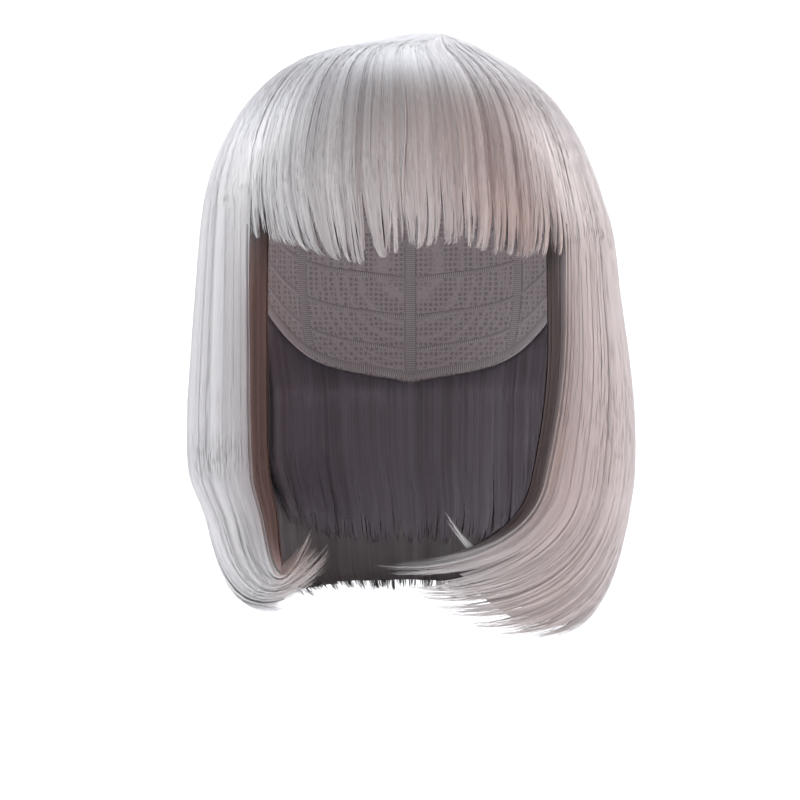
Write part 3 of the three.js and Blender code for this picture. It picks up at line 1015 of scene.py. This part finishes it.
@dataclass
class CrownWhorl:
    """The round of short hair at the whorl, from which the other strands leave."""

    family: StrandFamily
    node: str = "crown_whorl"
    slot: str = "hair"
    strands: int = 1100
    rings: int = 10
    seed: int = 41

    def build(self, material: bpy.types.Material) -> bpy.types.Object:
        """Makes the whorl's strands and the pad under them.

        Args:
            material: The fibre.

        Returns:
            The piece.
        """
        draw = np.random.default_rng(self.seed)
        form, root = self.family.form, self.family.root
        azimuth = 360 * (np.arange(self.strands) + draw.random(self.strands)) / self.strands
        run = np.linspace(0, 1, self.rings) * lerp(0.9, 1.75, draw.random(self.strands))[:, None]
        start = 0.04 + 0.5 * draw.random((self.strands, 1)) ** 1.5
        run = start + (run - run[:, :1]) * (1 - start / 2)
        drop = root * run**2
        spin_at_middle, spin_fade, turn = 26, 2.2, 2.0
        spin = spin_at_middle * np.exp(-spin_fade * run)
        turned = azimuth[:, None] + spin + draw.normal(0, 1.5, (self.strands, 1)) * run
        base = form.point(turned, drop, 0 * drop)
        down = form.point(turned, drop * 1.05 + 0.05, 0 * drop) - form.point(turned, drop * 0.95, 0 * drop)
        across = form.point(turned + turn, drop, 0 * drop) - form.point(turned - turn, drop, 0 * drop)
        normal = unit(np.cross(down, across))
        own = np.linspace(0, 1, self.rings)
        depth = 0.25 * draw.random((self.strands, 1)) + 0.5 * smoothstep(own, 0.8, 1)
        centres = base - normal * depth[..., None]
        width = draw.uniform(0.28, 0.5, (self.strands, 1)) * (1 - 0.85 * smoothstep(own, 0.5, 1))
        tone = 0.58 + 0.06 * draw.normal(0, 1, self.strands)
        values = np.broadcast_arrays((azimuth * STRAND_DEGREE)[:, None], run * STATION, tone[:, None])
        strands = strand_tubes(centres, normal, width, np.stack(values, axis=-1), PAD_STRIP)
        piece = mesh_piece("whorl_strands", [self.pad(), strands], material)
        dress(piece, self.node)
        return piece

    def pad(self) -> Tubes:
        """Builds the solid round under the whorl's strands.

        Returns:
            One upright tube of level rings.
        """
        form, root = self.family.form, self.family.root
        sides, sunk_by, ring_place, tone = 72, 0.8, 4, 0.5
        azimuth = np.arange(sides) * 360 / sides
        top = [form.point(azimuth, root * share**2, 0 * azimuth) for share in (0.04, 0.3, 0.55, 0.8, 0.97)]
        normal, _ = self.family.frame(azimuth, 0 * azimuth)
        seat = form.depth_to_seat(top[-1], normal, 2 * form.above_cap)
        below = top[-1] - normal * seat[..., None]
        middle = below.mean(axis=0)
        lower = [lerp(middle, below, share) for share in (1, 0.5, 0.04)]
        sunk = [ring - [0, 0, sunk_by] for ring in top]
        rings = np.stack([*sunk, *lower])[None]
        normals = np.stack([*[normal] * len(top), *[normal * [1, 1, -1]] * len(lower)])[None]
        place = np.zeros(rings.shape)
        place[..., 0] = azimuth * DEGREE
        place[..., 1] = np.arange(rings.shape[1])[None, :, None] * ring_place
        place[..., 2] = tone
        turned = [values[:, :, ::-1] for values in (rings, normals, place)]
        return Tubes(*turned, np.array([[0, PAD_STRIP]]))


def band_tube(path: np.ndarray, facing: np.ndarray, width: float, height: float, sides: int) -> Tubes:
    """Makes one flat band with rounded edges along a path.

    Args:
        path: Points along its middle.
        facing: The directions that its flat side faces.
        width: Its width.
        height: Its thickness.
        sides: How many sides its section has.

    Returns:
        The band.
    """
    tangent = unit(np.gradient(path, axis=0))
    across = unit(np.cross(tangent, facing))
    out = np.cross(across, tangent)
    turn = np.arange(sides) * 2 * math.pi / sides
    flat, high = np.cos(turn), np.sin(turn)
    squareness = 0.6
    flat = np.sign(flat) * np.abs(flat) ** squareness
    offset = -across[:, None] * flat[:, None] * width / 2 + out[:, None] * high[:, None] * height / 2
    rounded = -across[:, None] * flat[:, None] / width + out[:, None] * high[:, None] / height
    length = np.concatenate([[0], np.cumsum(np.linalg.norm(np.diff(path, axis=0), axis=-1))])
    place = np.zeros((len(path), sides, 3))
    place[..., 0] = length[:, None]
    place[..., 1] = flat * width / 2
    rings = (path[:, None] + offset)[None]
    return Tubes(rings, unit(rounded)[None], place[None], np.array([[0.0, 1.0]]))


@dataclass
class NetCap:
    """The cap: a shell of net, with sewn wefts and elastic straps inside it and a bound rim."""

    cap: Cap
    node: str = "wig_cap"
    slot: str = "cap_net"
    columns: int = 120
    rows: int = 34
    # The width, the thickness and the sides of the section of each kind of band.
    binding: tuple[float, float, int] = (6, 2.1, 12)
    weft: tuple[float, float, int] = (2.4, 0.9, 6)
    strap: tuple[float, float, int] = (5.5, 0.7, 8)
    weft_shares: tuple[float, ...] = (0.3, 0.39, 0.48, 0.57, 0.66, 0.75, 0.84, 0.92)
    strap_azimuths: tuple[float, ...] = (62, 108, 145, 180, 215, 252, 298)

    @staticmethod
    def ray(azimuth: np.ndarray, lean: np.ndarray) -> np.ndarray:
        """Points out from the middle of the cap.

        Args:
            azimuth: Directions round the cap.
            lean: Degrees from straight up.

        Returns:
            Vectors with a length of 1.
        """
        turn, tilt = np.radians(azimuth), np.radians(lean)
        level = np.sin(tilt)
        return np.stack([level * np.sin(turn), -level * np.cos(turn), np.cos(tilt) + 0 * turn], axis=-1)

    def rim_lean(self, azimuth: np.ndarray) -> np.ndarray:
        """Finds where the shell ends in its rim.

        Args:
            azimuth: Directions round the cap.

        Returns:
            The leans there, in degrees from straight up.
        """
        least, most, halvings = 20.0, 170.0, 24
        low, high = np.full(azimuth.shape, least), np.full(azimuth.shape, most)
        for _ in range(halvings):
            lean = (low + high) / 2
            ray = self.ray(azimuth, lean)
            height = self.cap.middle[2] + ray[..., 2] * self.cap.radius(ray, self.cap.wall)
            above = height > -self.cap.rim_depth(azimuth)
            low, high = np.where(above, lean, low), np.where(above, high, lean)
        return low

    def spot(self, azimuth: np.ndarray, share: np.ndarray, margin: np.ndarray) -> np.ndarray:
        """Finds points of the shell.

        Args:
            azimuth: Directions round the cap.
            share: The share of the way from its top to its rim.
            margin: How far outside its inner side.

        Returns:
            The points, with x, y and z last.
        """
        azimuth, share = np.broadcast_arrays(azimuth, share)
        ray = self.ray(azimuth, self.rim_lean(azimuth) * share)
        return self.cap.middle + ray * self.cap.radius(ray, margin)[..., None]

    def outward(self, azimuth: np.ndarray, share: np.ndarray) -> np.ndarray:
        """Measures how the shell is turned.

        Args:
            azimuth: Directions round the cap.
            share: The share of the way from its top to its rim.

        Returns:
            Its outward normals.
        """
        offset = self.spot(azimuth, share, 0.0) - self.cap.middle
        half = np.array([self.cap.breadth / 2, self.cap.length / 2, self.cap.crown])
        return unit(np.sign(offset) * np.abs(offset / half) ** (self.cap.power - 1) / half)

    def shell(self) -> Tubes:
        """Builds the net's two sides.

        Returns:
            One tube of rings, from the top outside to the top inside.
        """
        azimuth = np.arange(self.columns)[::-1] * 360 / self.columns
        top = 0.015
        down = np.linspace(top, 1, self.rows)
        share = np.concatenate([down, down[::-1]])[:, None]
        margin = np.repeat([self.cap.wall, 0.0], self.rows)[:, None]
        rings = self.spot(azimuth, share, margin)
        side = np.repeat([1, -1], self.rows)[:, None, None]
        normals = self.outward(azimuth, share) * side
        place = np.zeros(rings.shape)
        place[..., 0] = azimuth * DEGREE
        place[..., 1] = share * self.cap.nape_depth
        return Tubes(rings[None], normals[None], place[None], np.array([[0.0, 1.0]]))

    def bands(self) -> list[Tubes]:
        """Builds the binding of the rim, the wefts and the straps.

        Returns:
            A tube for each band.
        """
        around = np.linspace(0, 360, 181)
        half = self.cap.wall / 2
        rim_share, strap_sunk = 0.985, 0.25
        rim = self.spot(around, rim_share, half)
        bands = [band_tube(rim, self.outward(around, rim_share), *self.binding)]
        for share in self.weft_shares:
            path = self.spot(around, share, 0.0)
            bands.append(band_tube(path, -self.outward(around, share), *self.weft))
        shares = np.linspace(0.26, 0.97, 36)
        for azimuth in self.strap_azimuths:
            turned = np.full(shares.shape, float(azimuth))
            path = self.spot(turned, shares, -strap_sunk)
            bands.append(band_tube(path, -self.outward(turned, shares), *self.strap))
        return bands

    def build(self, net: bpy.types.Material, elastic: bpy.types.Material) -> None:
        """Makes the shell and the bands, which stand for the cap together.

        Args:
            net: The shell's material.
            elastic: The bands' material.
        """
        dress(mesh_piece("cap_shell", [self.shell()], net), self.node)
        bands = self.bands()
        edges = np.linspace(0, 1, len(bands) + 1)
        for band, low, high in zip(bands, edges[:-1], edges[1:], strict=True):
            band.strips = np.array([[low, high]])
        dress(mesh_piece("cap_bands", bands, elastic), self.node)


def add_node(
    tree: bpy.types.NodeTree,
    kind: str,
    settings: dict[str | int, object] | None = None,
    links: dict[str | int, bpy.types.NodeSocket] | None = None,
) -> bpy.types.Node:
    """Adds a node with its settings and links.

    Args:
        tree: The material's node tree.
        kind: The node's type name.
        settings: Values for the node's own properties, or for its input sockets by name.
        links: Output sockets that feed its input sockets, by name.

    Returns:
        The node.
    """
    node = tree.nodes.new(kind)
    for name, value in (settings or {}).items():
        if isinstance(name, int) or name in node.inputs:
            node.inputs[name].default_value = value
        else:
            setattr(node, name, value)
    for name, source in (links or {}).items():
        tree.links.new(source, node.inputs[name])
    return node


def new_material(name: str) -> tuple[bpy.types.Material, bpy.types.NodeTree, bpy.types.Node]:
    """Makes a material with one shader.

    Args:
        name: Its name.

    Returns:
        The material, its node tree and its shader.
    """
    material = bpy.data.materials.new(name)
    material.use_nodes = True
    return material, material.node_tree, material.node_tree.nodes["Principled BSDF"]


def shade_ramp(
    tree: bpy.types.NodeTree, tone: bpy.types.NodeSocket, shades: tuple[tuple[float, str], ...]
) -> bpy.types.NodeSocket:
    """Adds a colour ramp.

    Args:
        tree: The material's node tree.
        tone: What the ramp reads.
        shades: Its places from 0 to 1, with an sRGB hex colour for each.

    Returns:
        The ramp's colour.
    """
    ramp = add_node(tree, "ShaderNodeValToRGB", links={"Fac": tone})
    elements = ramp.color_ramp.elements
    while len(elements) < len(shades):
        elements.new(0.5)
    for element, (position, shade) in zip(elements, shades, strict=True):
        element.position = position
        element.color = linear_rgba(shade)
    return ramp.outputs["Color"]


def finish_surface(
    shader: bpy.types.Node,
    colour: bpy.types.NodeSocket,
    height: bpy.types.NodeSocket,
    relief: dict[str | int, object],
    values: dict[str, float],
) -> None:
    """Gives a shader its colour, its relief and its other values.

    Args:
        shader: The material's shader.
        colour: What feeds its colour.
        height: What the relief reads.
        relief: The settings of the bump node.
        values: Values for the shader's input sockets, by name.
    """
    tree = shader.id_data
    bump = add_node(tree, "ShaderNodeBump", relief, {"Height": height})
    tree.links.new(colour, shader.inputs["Base Color"])
    tree.links.new(bump.outputs["Normal"], shader.inputs["Normal"])
    for name, value in values.items():
        shader.inputs[name].default_value = value


@dataclass(frozen=True)
class ModacrylicFibre:
    """Drawn modacrylic monofilament, a soft gloss fibre in slightly mixed shades.

    The real threads are 0.06 mm wide, too fine to show, so they are drawn as bundles of 0.3 to 0.5 mm. The
    mixed shades give the eye fine light and dark streaks along the fall of the hair, and the sheen of the
    many round threads a soft light edge.
    """

    name: str
    shades: tuple[tuple[float, str], ...]
    roughness: float = 0.42
    ior: float = 1.50
    sheen: float = 0.12
    sheen_roughness: float = 0.4
    streak: float = 0.6
    streak_length: float = 240
    streak_share: float = 0.08

    def material(self) -> bpy.types.Material:
        """Makes the fibre's material.

        Returns:
            The material, coloured by each strand's tone with streaks along it.
        """
        material, tree, shader = new_material(self.name)
        place = add_node(tree, "ShaderNodeAttribute", {"attribute_name": PLACE})
        parts = add_node(tree, "ShaderNodeSeparateXYZ", links={"Vector": place.outputs["Vector"]})
        scaled = add_node(
            tree,
            "ShaderNodeVectorMath",
            {"operation": "MULTIPLY", 1: (1 / self.streak, 1 / self.streak_length, 0)},
            {0: place.outputs["Vector"]},
        )
        streaks = add_node(
            tree,
            "ShaderNodeTexNoise",
            {"Scale": 1.0, "Detail": 3.0, "Roughness": 0.6},
            {"Vector": scaled.outputs["Vector"]},
        )
        swing = add_node(
            tree,
            "ShaderNodeMath",
            {"operation": "MULTIPLY_ADD", 1: 2 * self.streak_share, 2: -self.streak_share},
            {0: streaks.outputs["Fac"]},
        )
        tone = add_node(
            tree,
            "ShaderNodeMath",
            {"operation": "ADD"},
            {0: parts.outputs["Z"], 1: swing.outputs["Value"]},
        )
        finish_surface(
            shader,
            shade_ramp(tree, tone.outputs["Value"], self.shades),
            streaks.outputs["Fac"],
            {"Strength": 0.15, "Distance": 0.2 * METRES},
            {
                "Roughness": self.roughness,
                "IOR": self.ior,
                "Sheen Weight": self.sheen,
                "Sheen Roughness": self.sheen_roughness,
            },
        )
        return material


@dataclass(frozen=True)
class KnittedNet:
    """Knitted elastic nylon net, matt and slightly open.

    The real mesh is 1.2 mm, too fine to show, so it is drawn at 2.4 mm. Its holes give the eye small soft
    dents, painted darker with painted shade.
    """

    name: str = "knitted_nylon_net"
    thread: str = "d6cecf"
    shaded_hole: str = "ada3a7"
    mesh: float = 2.4
    roughness: float = 0.85

    def material(self) -> bpy.types.Material:
        """Makes the net's material.

        Returns:
            The material, with its holes as dents in painted shade.
        """
        material, tree, shader = new_material(self.name)
        where = add_node(tree, "ShaderNodeTexCoord")
        cells = add_node(
            tree,
            "ShaderNodeTexVoronoi",
            {"feature": "DISTANCE_TO_EDGE", "Scale": 1 / (self.mesh * METRES), "Randomness": 0.25},
            {"Vector": where.outputs["Object"]},
        )
        distance = cells.outputs["Distance"]
        # Painted shade: the holes are painted darker than the thread.
        finish_surface(
            shader,
            shade_ramp(tree, distance, ((0.04, self.thread), (0.3, self.shaded_hole))),
            distance,
            {"invert": True, "Strength": 0.4, "Distance": 0.3 * METRES},
            {"Roughness": self.roughness},
        )
        return material


@dataclass(frozen=True)
class WovenElastic:
    """Woven polyester elastic, matt, with ribs of 1 mm across the band."""

    name: str = "woven_polyester_elastic"
    ridge: str = "dad3d4"
    shaded_groove: str = "aaa1a5"
    rib: float = 1.0
    roughness: float = 0.8

    def material(self) -> bpy.types.Material:
        """Makes the elastic's material.

        Returns:
            The material, with its ribs as light ridges and painted shade in the groove between them.
        """
        material, tree, shader = new_material(self.name)
        place = add_node(tree, "ShaderNodeAttribute", {"attribute_name": PLACE})
        # A wave texture of scale 1 has one band for each 2 pi / 20 of its coordinate.
        bands = math.pi / 10 / self.rib
        ribs = add_node(
            tree,
            "ShaderNodeTexWave",
            {"Scale": bands, "Distortion": 0.4, "Detail": 1.0},
            {"Vector": place.outputs["Vector"]},
        )
        # Painted shade: the groove between ribs is painted darker than the ridge.
        finish_surface(
            shader,
            shade_ramp(tree, ribs.outputs["Fac"], ((0.1, self.shaded_groove), (0.8, self.ridge))),
            ribs.outputs["Fac"],
            {"Strength": 0.5, "Distance": 0.2 * METRES},
            {"Roughness": self.roughness},
        )
        return material


@dataclass
class Studio:
    """A pale seamless floor, soft light and the camera."""

    image_plane: float = 0.455 * 800
    distance: float = 1500
    aim: tuple[float, float, float] = (-5, 0, -154)
    sensor: float = 36
    floor_drop: float = 450
    floor_shade: str = "f8f8f9"

    def camera(self) -> None:
        """Puts the camera in front of the wig, level with its middle."""
        data = bpy.data.cameras.new("camera")
        data.sensor_width = self.sensor
        data.lens = self.sensor * self.distance / self.image_plane
        camera = bpy.data.objects.new("camera", data)
        bpy.context.scene.collection.objects.link(camera)
        camera.location = Vector((self.aim[0], -self.distance, self.aim[2])) * METRES
        camera.rotation_euler = (math.pi / 2, 0, 0)
        bpy.context.scene.camera = camera

    def floor(self) -> None:
        """Lays the floor, which curves up to a wall behind the wig."""
        half, near, far, radius, wall = 4000, -3000, 2200, 900, 4200
        steps = 24
        turns = np.linspace(0, math.pi / 2, steps)
        ys = [near, *(far + radius * np.sin(turns)), far + radius]
        zs = [0, *(radius - radius * np.cos(turns)), wall]
        profile = np.array([ys, zs]).T + [0, -self.floor_drop]
        points = [(x, y, z) for x in (-half, half) for y, z in profile]
        count = len(profile)
        faces = [(i, i + count, i + count + 1, i + 1) for i in range(count - 1)]
        mesh = bpy.data.meshes.new("studio_floor")
        mesh.from_pydata([Vector(p) * METRES for p in points], [], faces)
        mesh.polygons.foreach_set("use_smooth", np.ones(len(faces), bool))
        material, _, shader = new_material("painted_studio_board")
        shader.inputs["Base Color"].default_value = linear_rgba(self.floor_shade)
        shader.inputs["Roughness"].default_value = 0.95
        mesh.materials.append(material)
        floor = bpy.data.objects.new("studio_floor", mesh)
        bpy.context.scene.collection.objects.link(floor)

    def lamp(
        self,
        name: str,
        place: tuple[float, float, float],
        size: float,
        watts: float,
        shade: str,
        aim: tuple[float, float, float] | None = None,
    ) -> None:
        """Adds a soft square lamp.

        Args:
            name: Its name.
            place: Where it stands, in metres.
            size: Its side, in metres.
            watts: Its power.
            shade: Its colour.
            aim: The point that it faces, in metres, or None for the wig.
        """
        data = bpy.data.lights.new(name, "AREA")
        data.size = size
        data.energy = watts
        data.color = linear_rgba(shade)[:3]
        lamp = bpy.data.objects.new(name, data)
        bpy.context.scene.collection.objects.link(lamp)
        lamp.location = place
        toward = (Vector(aim) if aim else Vector(self.aim) * METRES) - lamp.location
        lamp.rotation_euler = toward.to_track_quat("-Z", "Y").to_euler()

    def light(self) -> None:
        """Lights the wig, cooler from the upper left and warmer from the right, and the white wall."""
        self.lamp("key_light", (-1.2, -1.5, 0.35), 0.7, 10.4, "fafdfd")
        self.lamp("fill_light", (1.5, -1.2, -0.15), 1.0, 10.8, "ffa872")
        self.lamp("top_light", (0.25, 1.0, 1.4), 1.2, 19, "eef6ff")
        self.lamp("left_rim_light", (-1.5, 0.9, 1.1), 0.8, 14, "eaf2ff")
        self.lamp("right_rim_light", (1.5, 0.9, 1.1), 0.8, 7, "f2f4ff")
        self.lamp("left_wall_light", (-2.2, 0.9, 1.0), 1.2, 60, "ffffff", (0.3, 2.9, -0.3))
        self.lamp("right_wall_light", (2.2, 0.9, 1.0), 1.2, 60, "ffffff", (-0.3, 2.9, -0.3))
        world = bpy.data.worlds.new("pale_air_under_a_dim_ceiling")
        world.use_nodes = True
        tree = world.node_tree
        where = add_node(tree, "ShaderNodeTexCoord")
        height = add_node(tree, "ShaderNodeSeparateXYZ", links={"Vector": where.outputs["Generated"]})
        shades = ((0.1, "e8e8e8"), (0.45, "6c6c70"))
        background = tree.nodes["Background"]
        tree.links.new(shade_ramp(tree, height.outputs["Z"], shades), background.inputs["Color"])
        bpy.context.scene.world = world
        bpy.context.scene.view_settings.view_transform = "Standard"

    def build(self) -> None:
        """Sets up the studio."""
        self.camera()
        self.floor()
        self.light()


def endings(*rows: tuple[float, ...]) -> tuple[Ending, ...]:
    """Returns rows of azimuth, lean, tip, drop, reach, dip and lateness as endings."""
    return tuple(Ending(*row) for row in rows)


OUTER_ENDINGS = endings(
    (41, -8, -14, 0.868, 0.85, 0.05),
    (55, -6, 2, 0.915, 0.8, 0.07),
    (70, -3, 17, 0.965, 0.75, 0.1),
    (85, -1, 34, 0.98, 0.75, 0.12),
    (102, 0, 70, 0.97, 0.9, 0.12),
    (130, 0, 120, 0.95, 0.97, 0.12),
    (180, 0, 180, 0.935, 1, 0.12),
    (230, 0, 238, 0.945, 0.97, 0.12),
    (258, 0, 276, 0.95, 1, 0.25, 0.3),
    (275, 0, 313, 0.91, 0.9, 0.7, 0.4),
    (290, 0, 321, 0.88, 1, 1.05, 0.5),
    (305, 0, 323, 0.845, 0.95, 1.35, 0.65),
    (319, 0, 321, 0.81, 0.88, 1.6, 0.8),
)
STRAY_ENDINGS = endings(
    (41, -8, 9.5, 0.785, 0.8, 1.5, 0.1),
    (55, -6, 11, 0.88, 0.8, 1, 0.1),
)
FRINGE_ENDINGS = endings(
    (-41, 0, -40, 0.92, 0.04, 0),
    (-30, 0, -25.5, 0.975, 0.1, 0),
    (-15, 0, -12.5, 1.03, 0.1, 0),
    (2, 0, 2, 0.975, 0.1, 0),
    (13, 0, 12, 0.965, 0.1, 0),
    (30, 0, 29, 1.01, 0.1, 0),
    (41, 0, 40.4, 0.99, 0.04, 0),
)
NAPE_ENDINGS = endings(
    (124, 0, 125, 0.95, 1.1, 0.05),
    (150, 0, 150, 0.99, 1.05, 0.05),
    (180, 0, 180, 1, 1.05, 0.05),
    (210, 0, 210, 0.99, 0.96, 0.05),
    (236, 0, 235, 0.95, 0.9, 0.05),
)


@dataclass
class BobWig:
    """The whole wig, by the pieces that stand for its nodes."""

    form: HairForm = field(default_factory=HairForm)
    whorl_drop: float = 6
    curl_height: float = 74
    fringe_length: float = 108
    fringe_hang: float = 0.46
    fringe_edge: float = 41
    side_edge: float = 102
    nape_edge: float = 124

    def outer(self, ending_rows: tuple[Ending, ...] = OUTER_ENDINGS) -> StrandFamily:
        """Returns the strands from the whorl to the ends."""
        hang = self.form.length - self.curl_height
        return StrandFamily(self.form, self.whorl_drop, hang, self.form.length, ending_rows)

    @cached_property
    def fringe(self) -> StrandFamily:
        """Returns the strands of the fringe."""
        hang = float(self.outer().hanging_drop(np.array(self.fringe_hang)))
        return StrandFamily(self.form, self.whorl_drop, hang, self.fringe_length, FRINGE_ENDINGS)

    @cached_property
    def nape(self) -> StrandFamily:
        """Returns the strands of the short layer under the back."""
        rim = self.form.above_cap + self.form.cap.nape_depth
        return StrandFamily(self.form, rim - 43, rim + 6, rim + 77, NAPE_ENDINGS, inset=(14, 24))

    def sheets(self) -> list[HairSheet]:
        """Lists the sheets of hair.

        Returns:
            The fringe, both sides, the back and the layer under it.
        """
        seat_end = self.form.seat_end
        swept_strands = {
            Lying.OUTSIDE: 700,
            Lying.INSIDE: 110,
            Lying.FIRST_EDGE: 130,
            Lying.FLYAWAY: 12,
            Lying.STRAY: 64,
        }
        hooked_strands = {
            Lying.OUTSIDE: 750,
            Lying.INSIDE: 110,
            Lying.LAST_EDGE: 130,
            Lying.FLYAWAY: 12,
        }
        spacing = ((0, 0), (0.5, 0.29), (0.62, 0.37), (0.85, 0.49), (1.25, 0.7), (2.2, 1.1))
        outer = {"slot": "hair", "family": self.outer(), "split": 1.4, "seat_end": seat_end}
        shared = {**outer, "spacing": spacing, "depth": 12.0, "bared_from": 0.61}
        swept = Styling(
            gather=0.8,
            feather=0.32,
            thinning=1.3,
            ends=(1.96, 2.12),
            swing=0.9,
            layer=0.2,
            painted_light_ends=0.2,
            under_end=1.8,
            under_width=0.7,
        )
        hooked = Styling(
            gather=1.1,
            feather=0.2,
            ends=(1.98, 2.08),
            swing=1.2,
            droop=1.8,
            layer=0.2,
            painted_light_ends=0.45,
            under_end=1.72,
        )
        return [
            HairSheet(
                name="fringe_strands",
                node="fringe",
                slot="hair",
                family=self.fringe,
                start=-self.fringe_edge,
                end=self.fringe_edge,
                locks=18,
                seed=3,
                depth=6.5,
                split=1.35,
                seat_end=seat_end,
                strands={Lying.OUTSIDE: 2060, Lying.INSIDE: 170, Lying.FLYAWAY: 16},
                rings=13,
                spacing=((0, 0), (1, 0.7), (2.2, 1.06)),
                styling=Styling(
                    wisp_width=1.5,
                    gather=0.4,
                    swing=0.9,
                    ends=(1.74, 2.13),
                    feather=0.6,
                    thinning=1.1,
                    droop=0.5,
                    relief=0.25,
                    contrast=0.11,
                    under_end=1.34,
                    under_width=0.4,
                ),
            ),
            HairSheet(
                name="left_side_strands",
                node="side_hair_left",
                start=self.fringe_edge,
                end=self.side_edge,
                locks=11,
                seed=11,
                strands=swept_strands,
                styling=swept,
                edge=0.45,
                open_edges=(True, False),
                stray=self.outer(STRAY_ENDINGS),
                rings=30,
                **shared,
            ),
            HairSheet(
                name="right_side_strands",
                node="side_hair_right",
                start=360 - self.side_edge,
                end=360 - self.fringe_edge,
                locks=11,
                seed=17,
                strands=hooked_strands,
                styling=hooked,
                edge=0.45,
                open_edges=(False, True),
                edge_darkness=0.32,
                edge_fade=5.5,
                rings=30,
                **shared,
            ),
            HairSheet(
                name="back_strands",
                node="back_hair",
                start=self.side_edge,
                end=360 - self.side_edge,
                locks=20,
                seed=23,
                strands={Lying.OUTSIDE: 960, Lying.INSIDE: 220, Lying.FLYAWAY: 10},
                rings=24,
                skin=0.62,
                styling=Styling(layer=0.2, ends=(1.96, 2.12), feather=0.2, under_end=1.78, under_width=1),
                **shared,
            ),
            HairSheet(
                name="nape_strands",
                node="nape_hair",
                slot="shaded_hair",
                family=self.nape,
                start=self.nape_edge,
                end=360 - self.nape_edge,
                locks=12,
                seed=29,
                depth=7.5,
                split=1.6,
                seat_end=math.inf,
                strands={Lying.OUTSIDE: 300, Lying.INSIDE: 640},
                rings=13,
                spacing=((0, 0), (1, 0.4), (2.2, 1.12)),
                styling=Styling(under_end=1.6),
            ),
        ]

    def build(self) -> None:
        """Makes and dresses every piece."""
        silver = ModacrylicFibre(
            "modacrylic_silver_lavender",
            ((0.0, "625453"), (0.25, "8c8182"), (0.5, "b4b1b3"), (0.75, "cdcbcc"), (1.0, "ebeaea")),
        ).material()
        # Painted shade: the nape layer's fibre is a darker copy of the silver one, for the shade under the
        # back hair.
        shaded = ModacrylicFibre(
            "modacrylic_painted_shade_lavender",
            ((0.0, "4c434a"), (0.25, "736a72"), (0.5, "958d98"), (0.75, "b0aab3"), (1.0, "cfccd2")),
            roughness=0.5,
        ).material()
        NetCap(self.form.cap).build(KnittedNet().material(), WovenElastic().material())
        CrownWhorl(self.outer()).build(silver)
        for sheet in self.sheets():
            sheet.build(shaded if sheet.slot == "shaded_hair" else silver)


def main() -> None:
    """Builds the wig's finish and the studio round it."""
    logging.basicConfig(level=logging.INFO, format="%(name)s: %(message)s")
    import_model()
    Studio().build()
    BobWig().build()


if __name__ == "__main__":
    main()
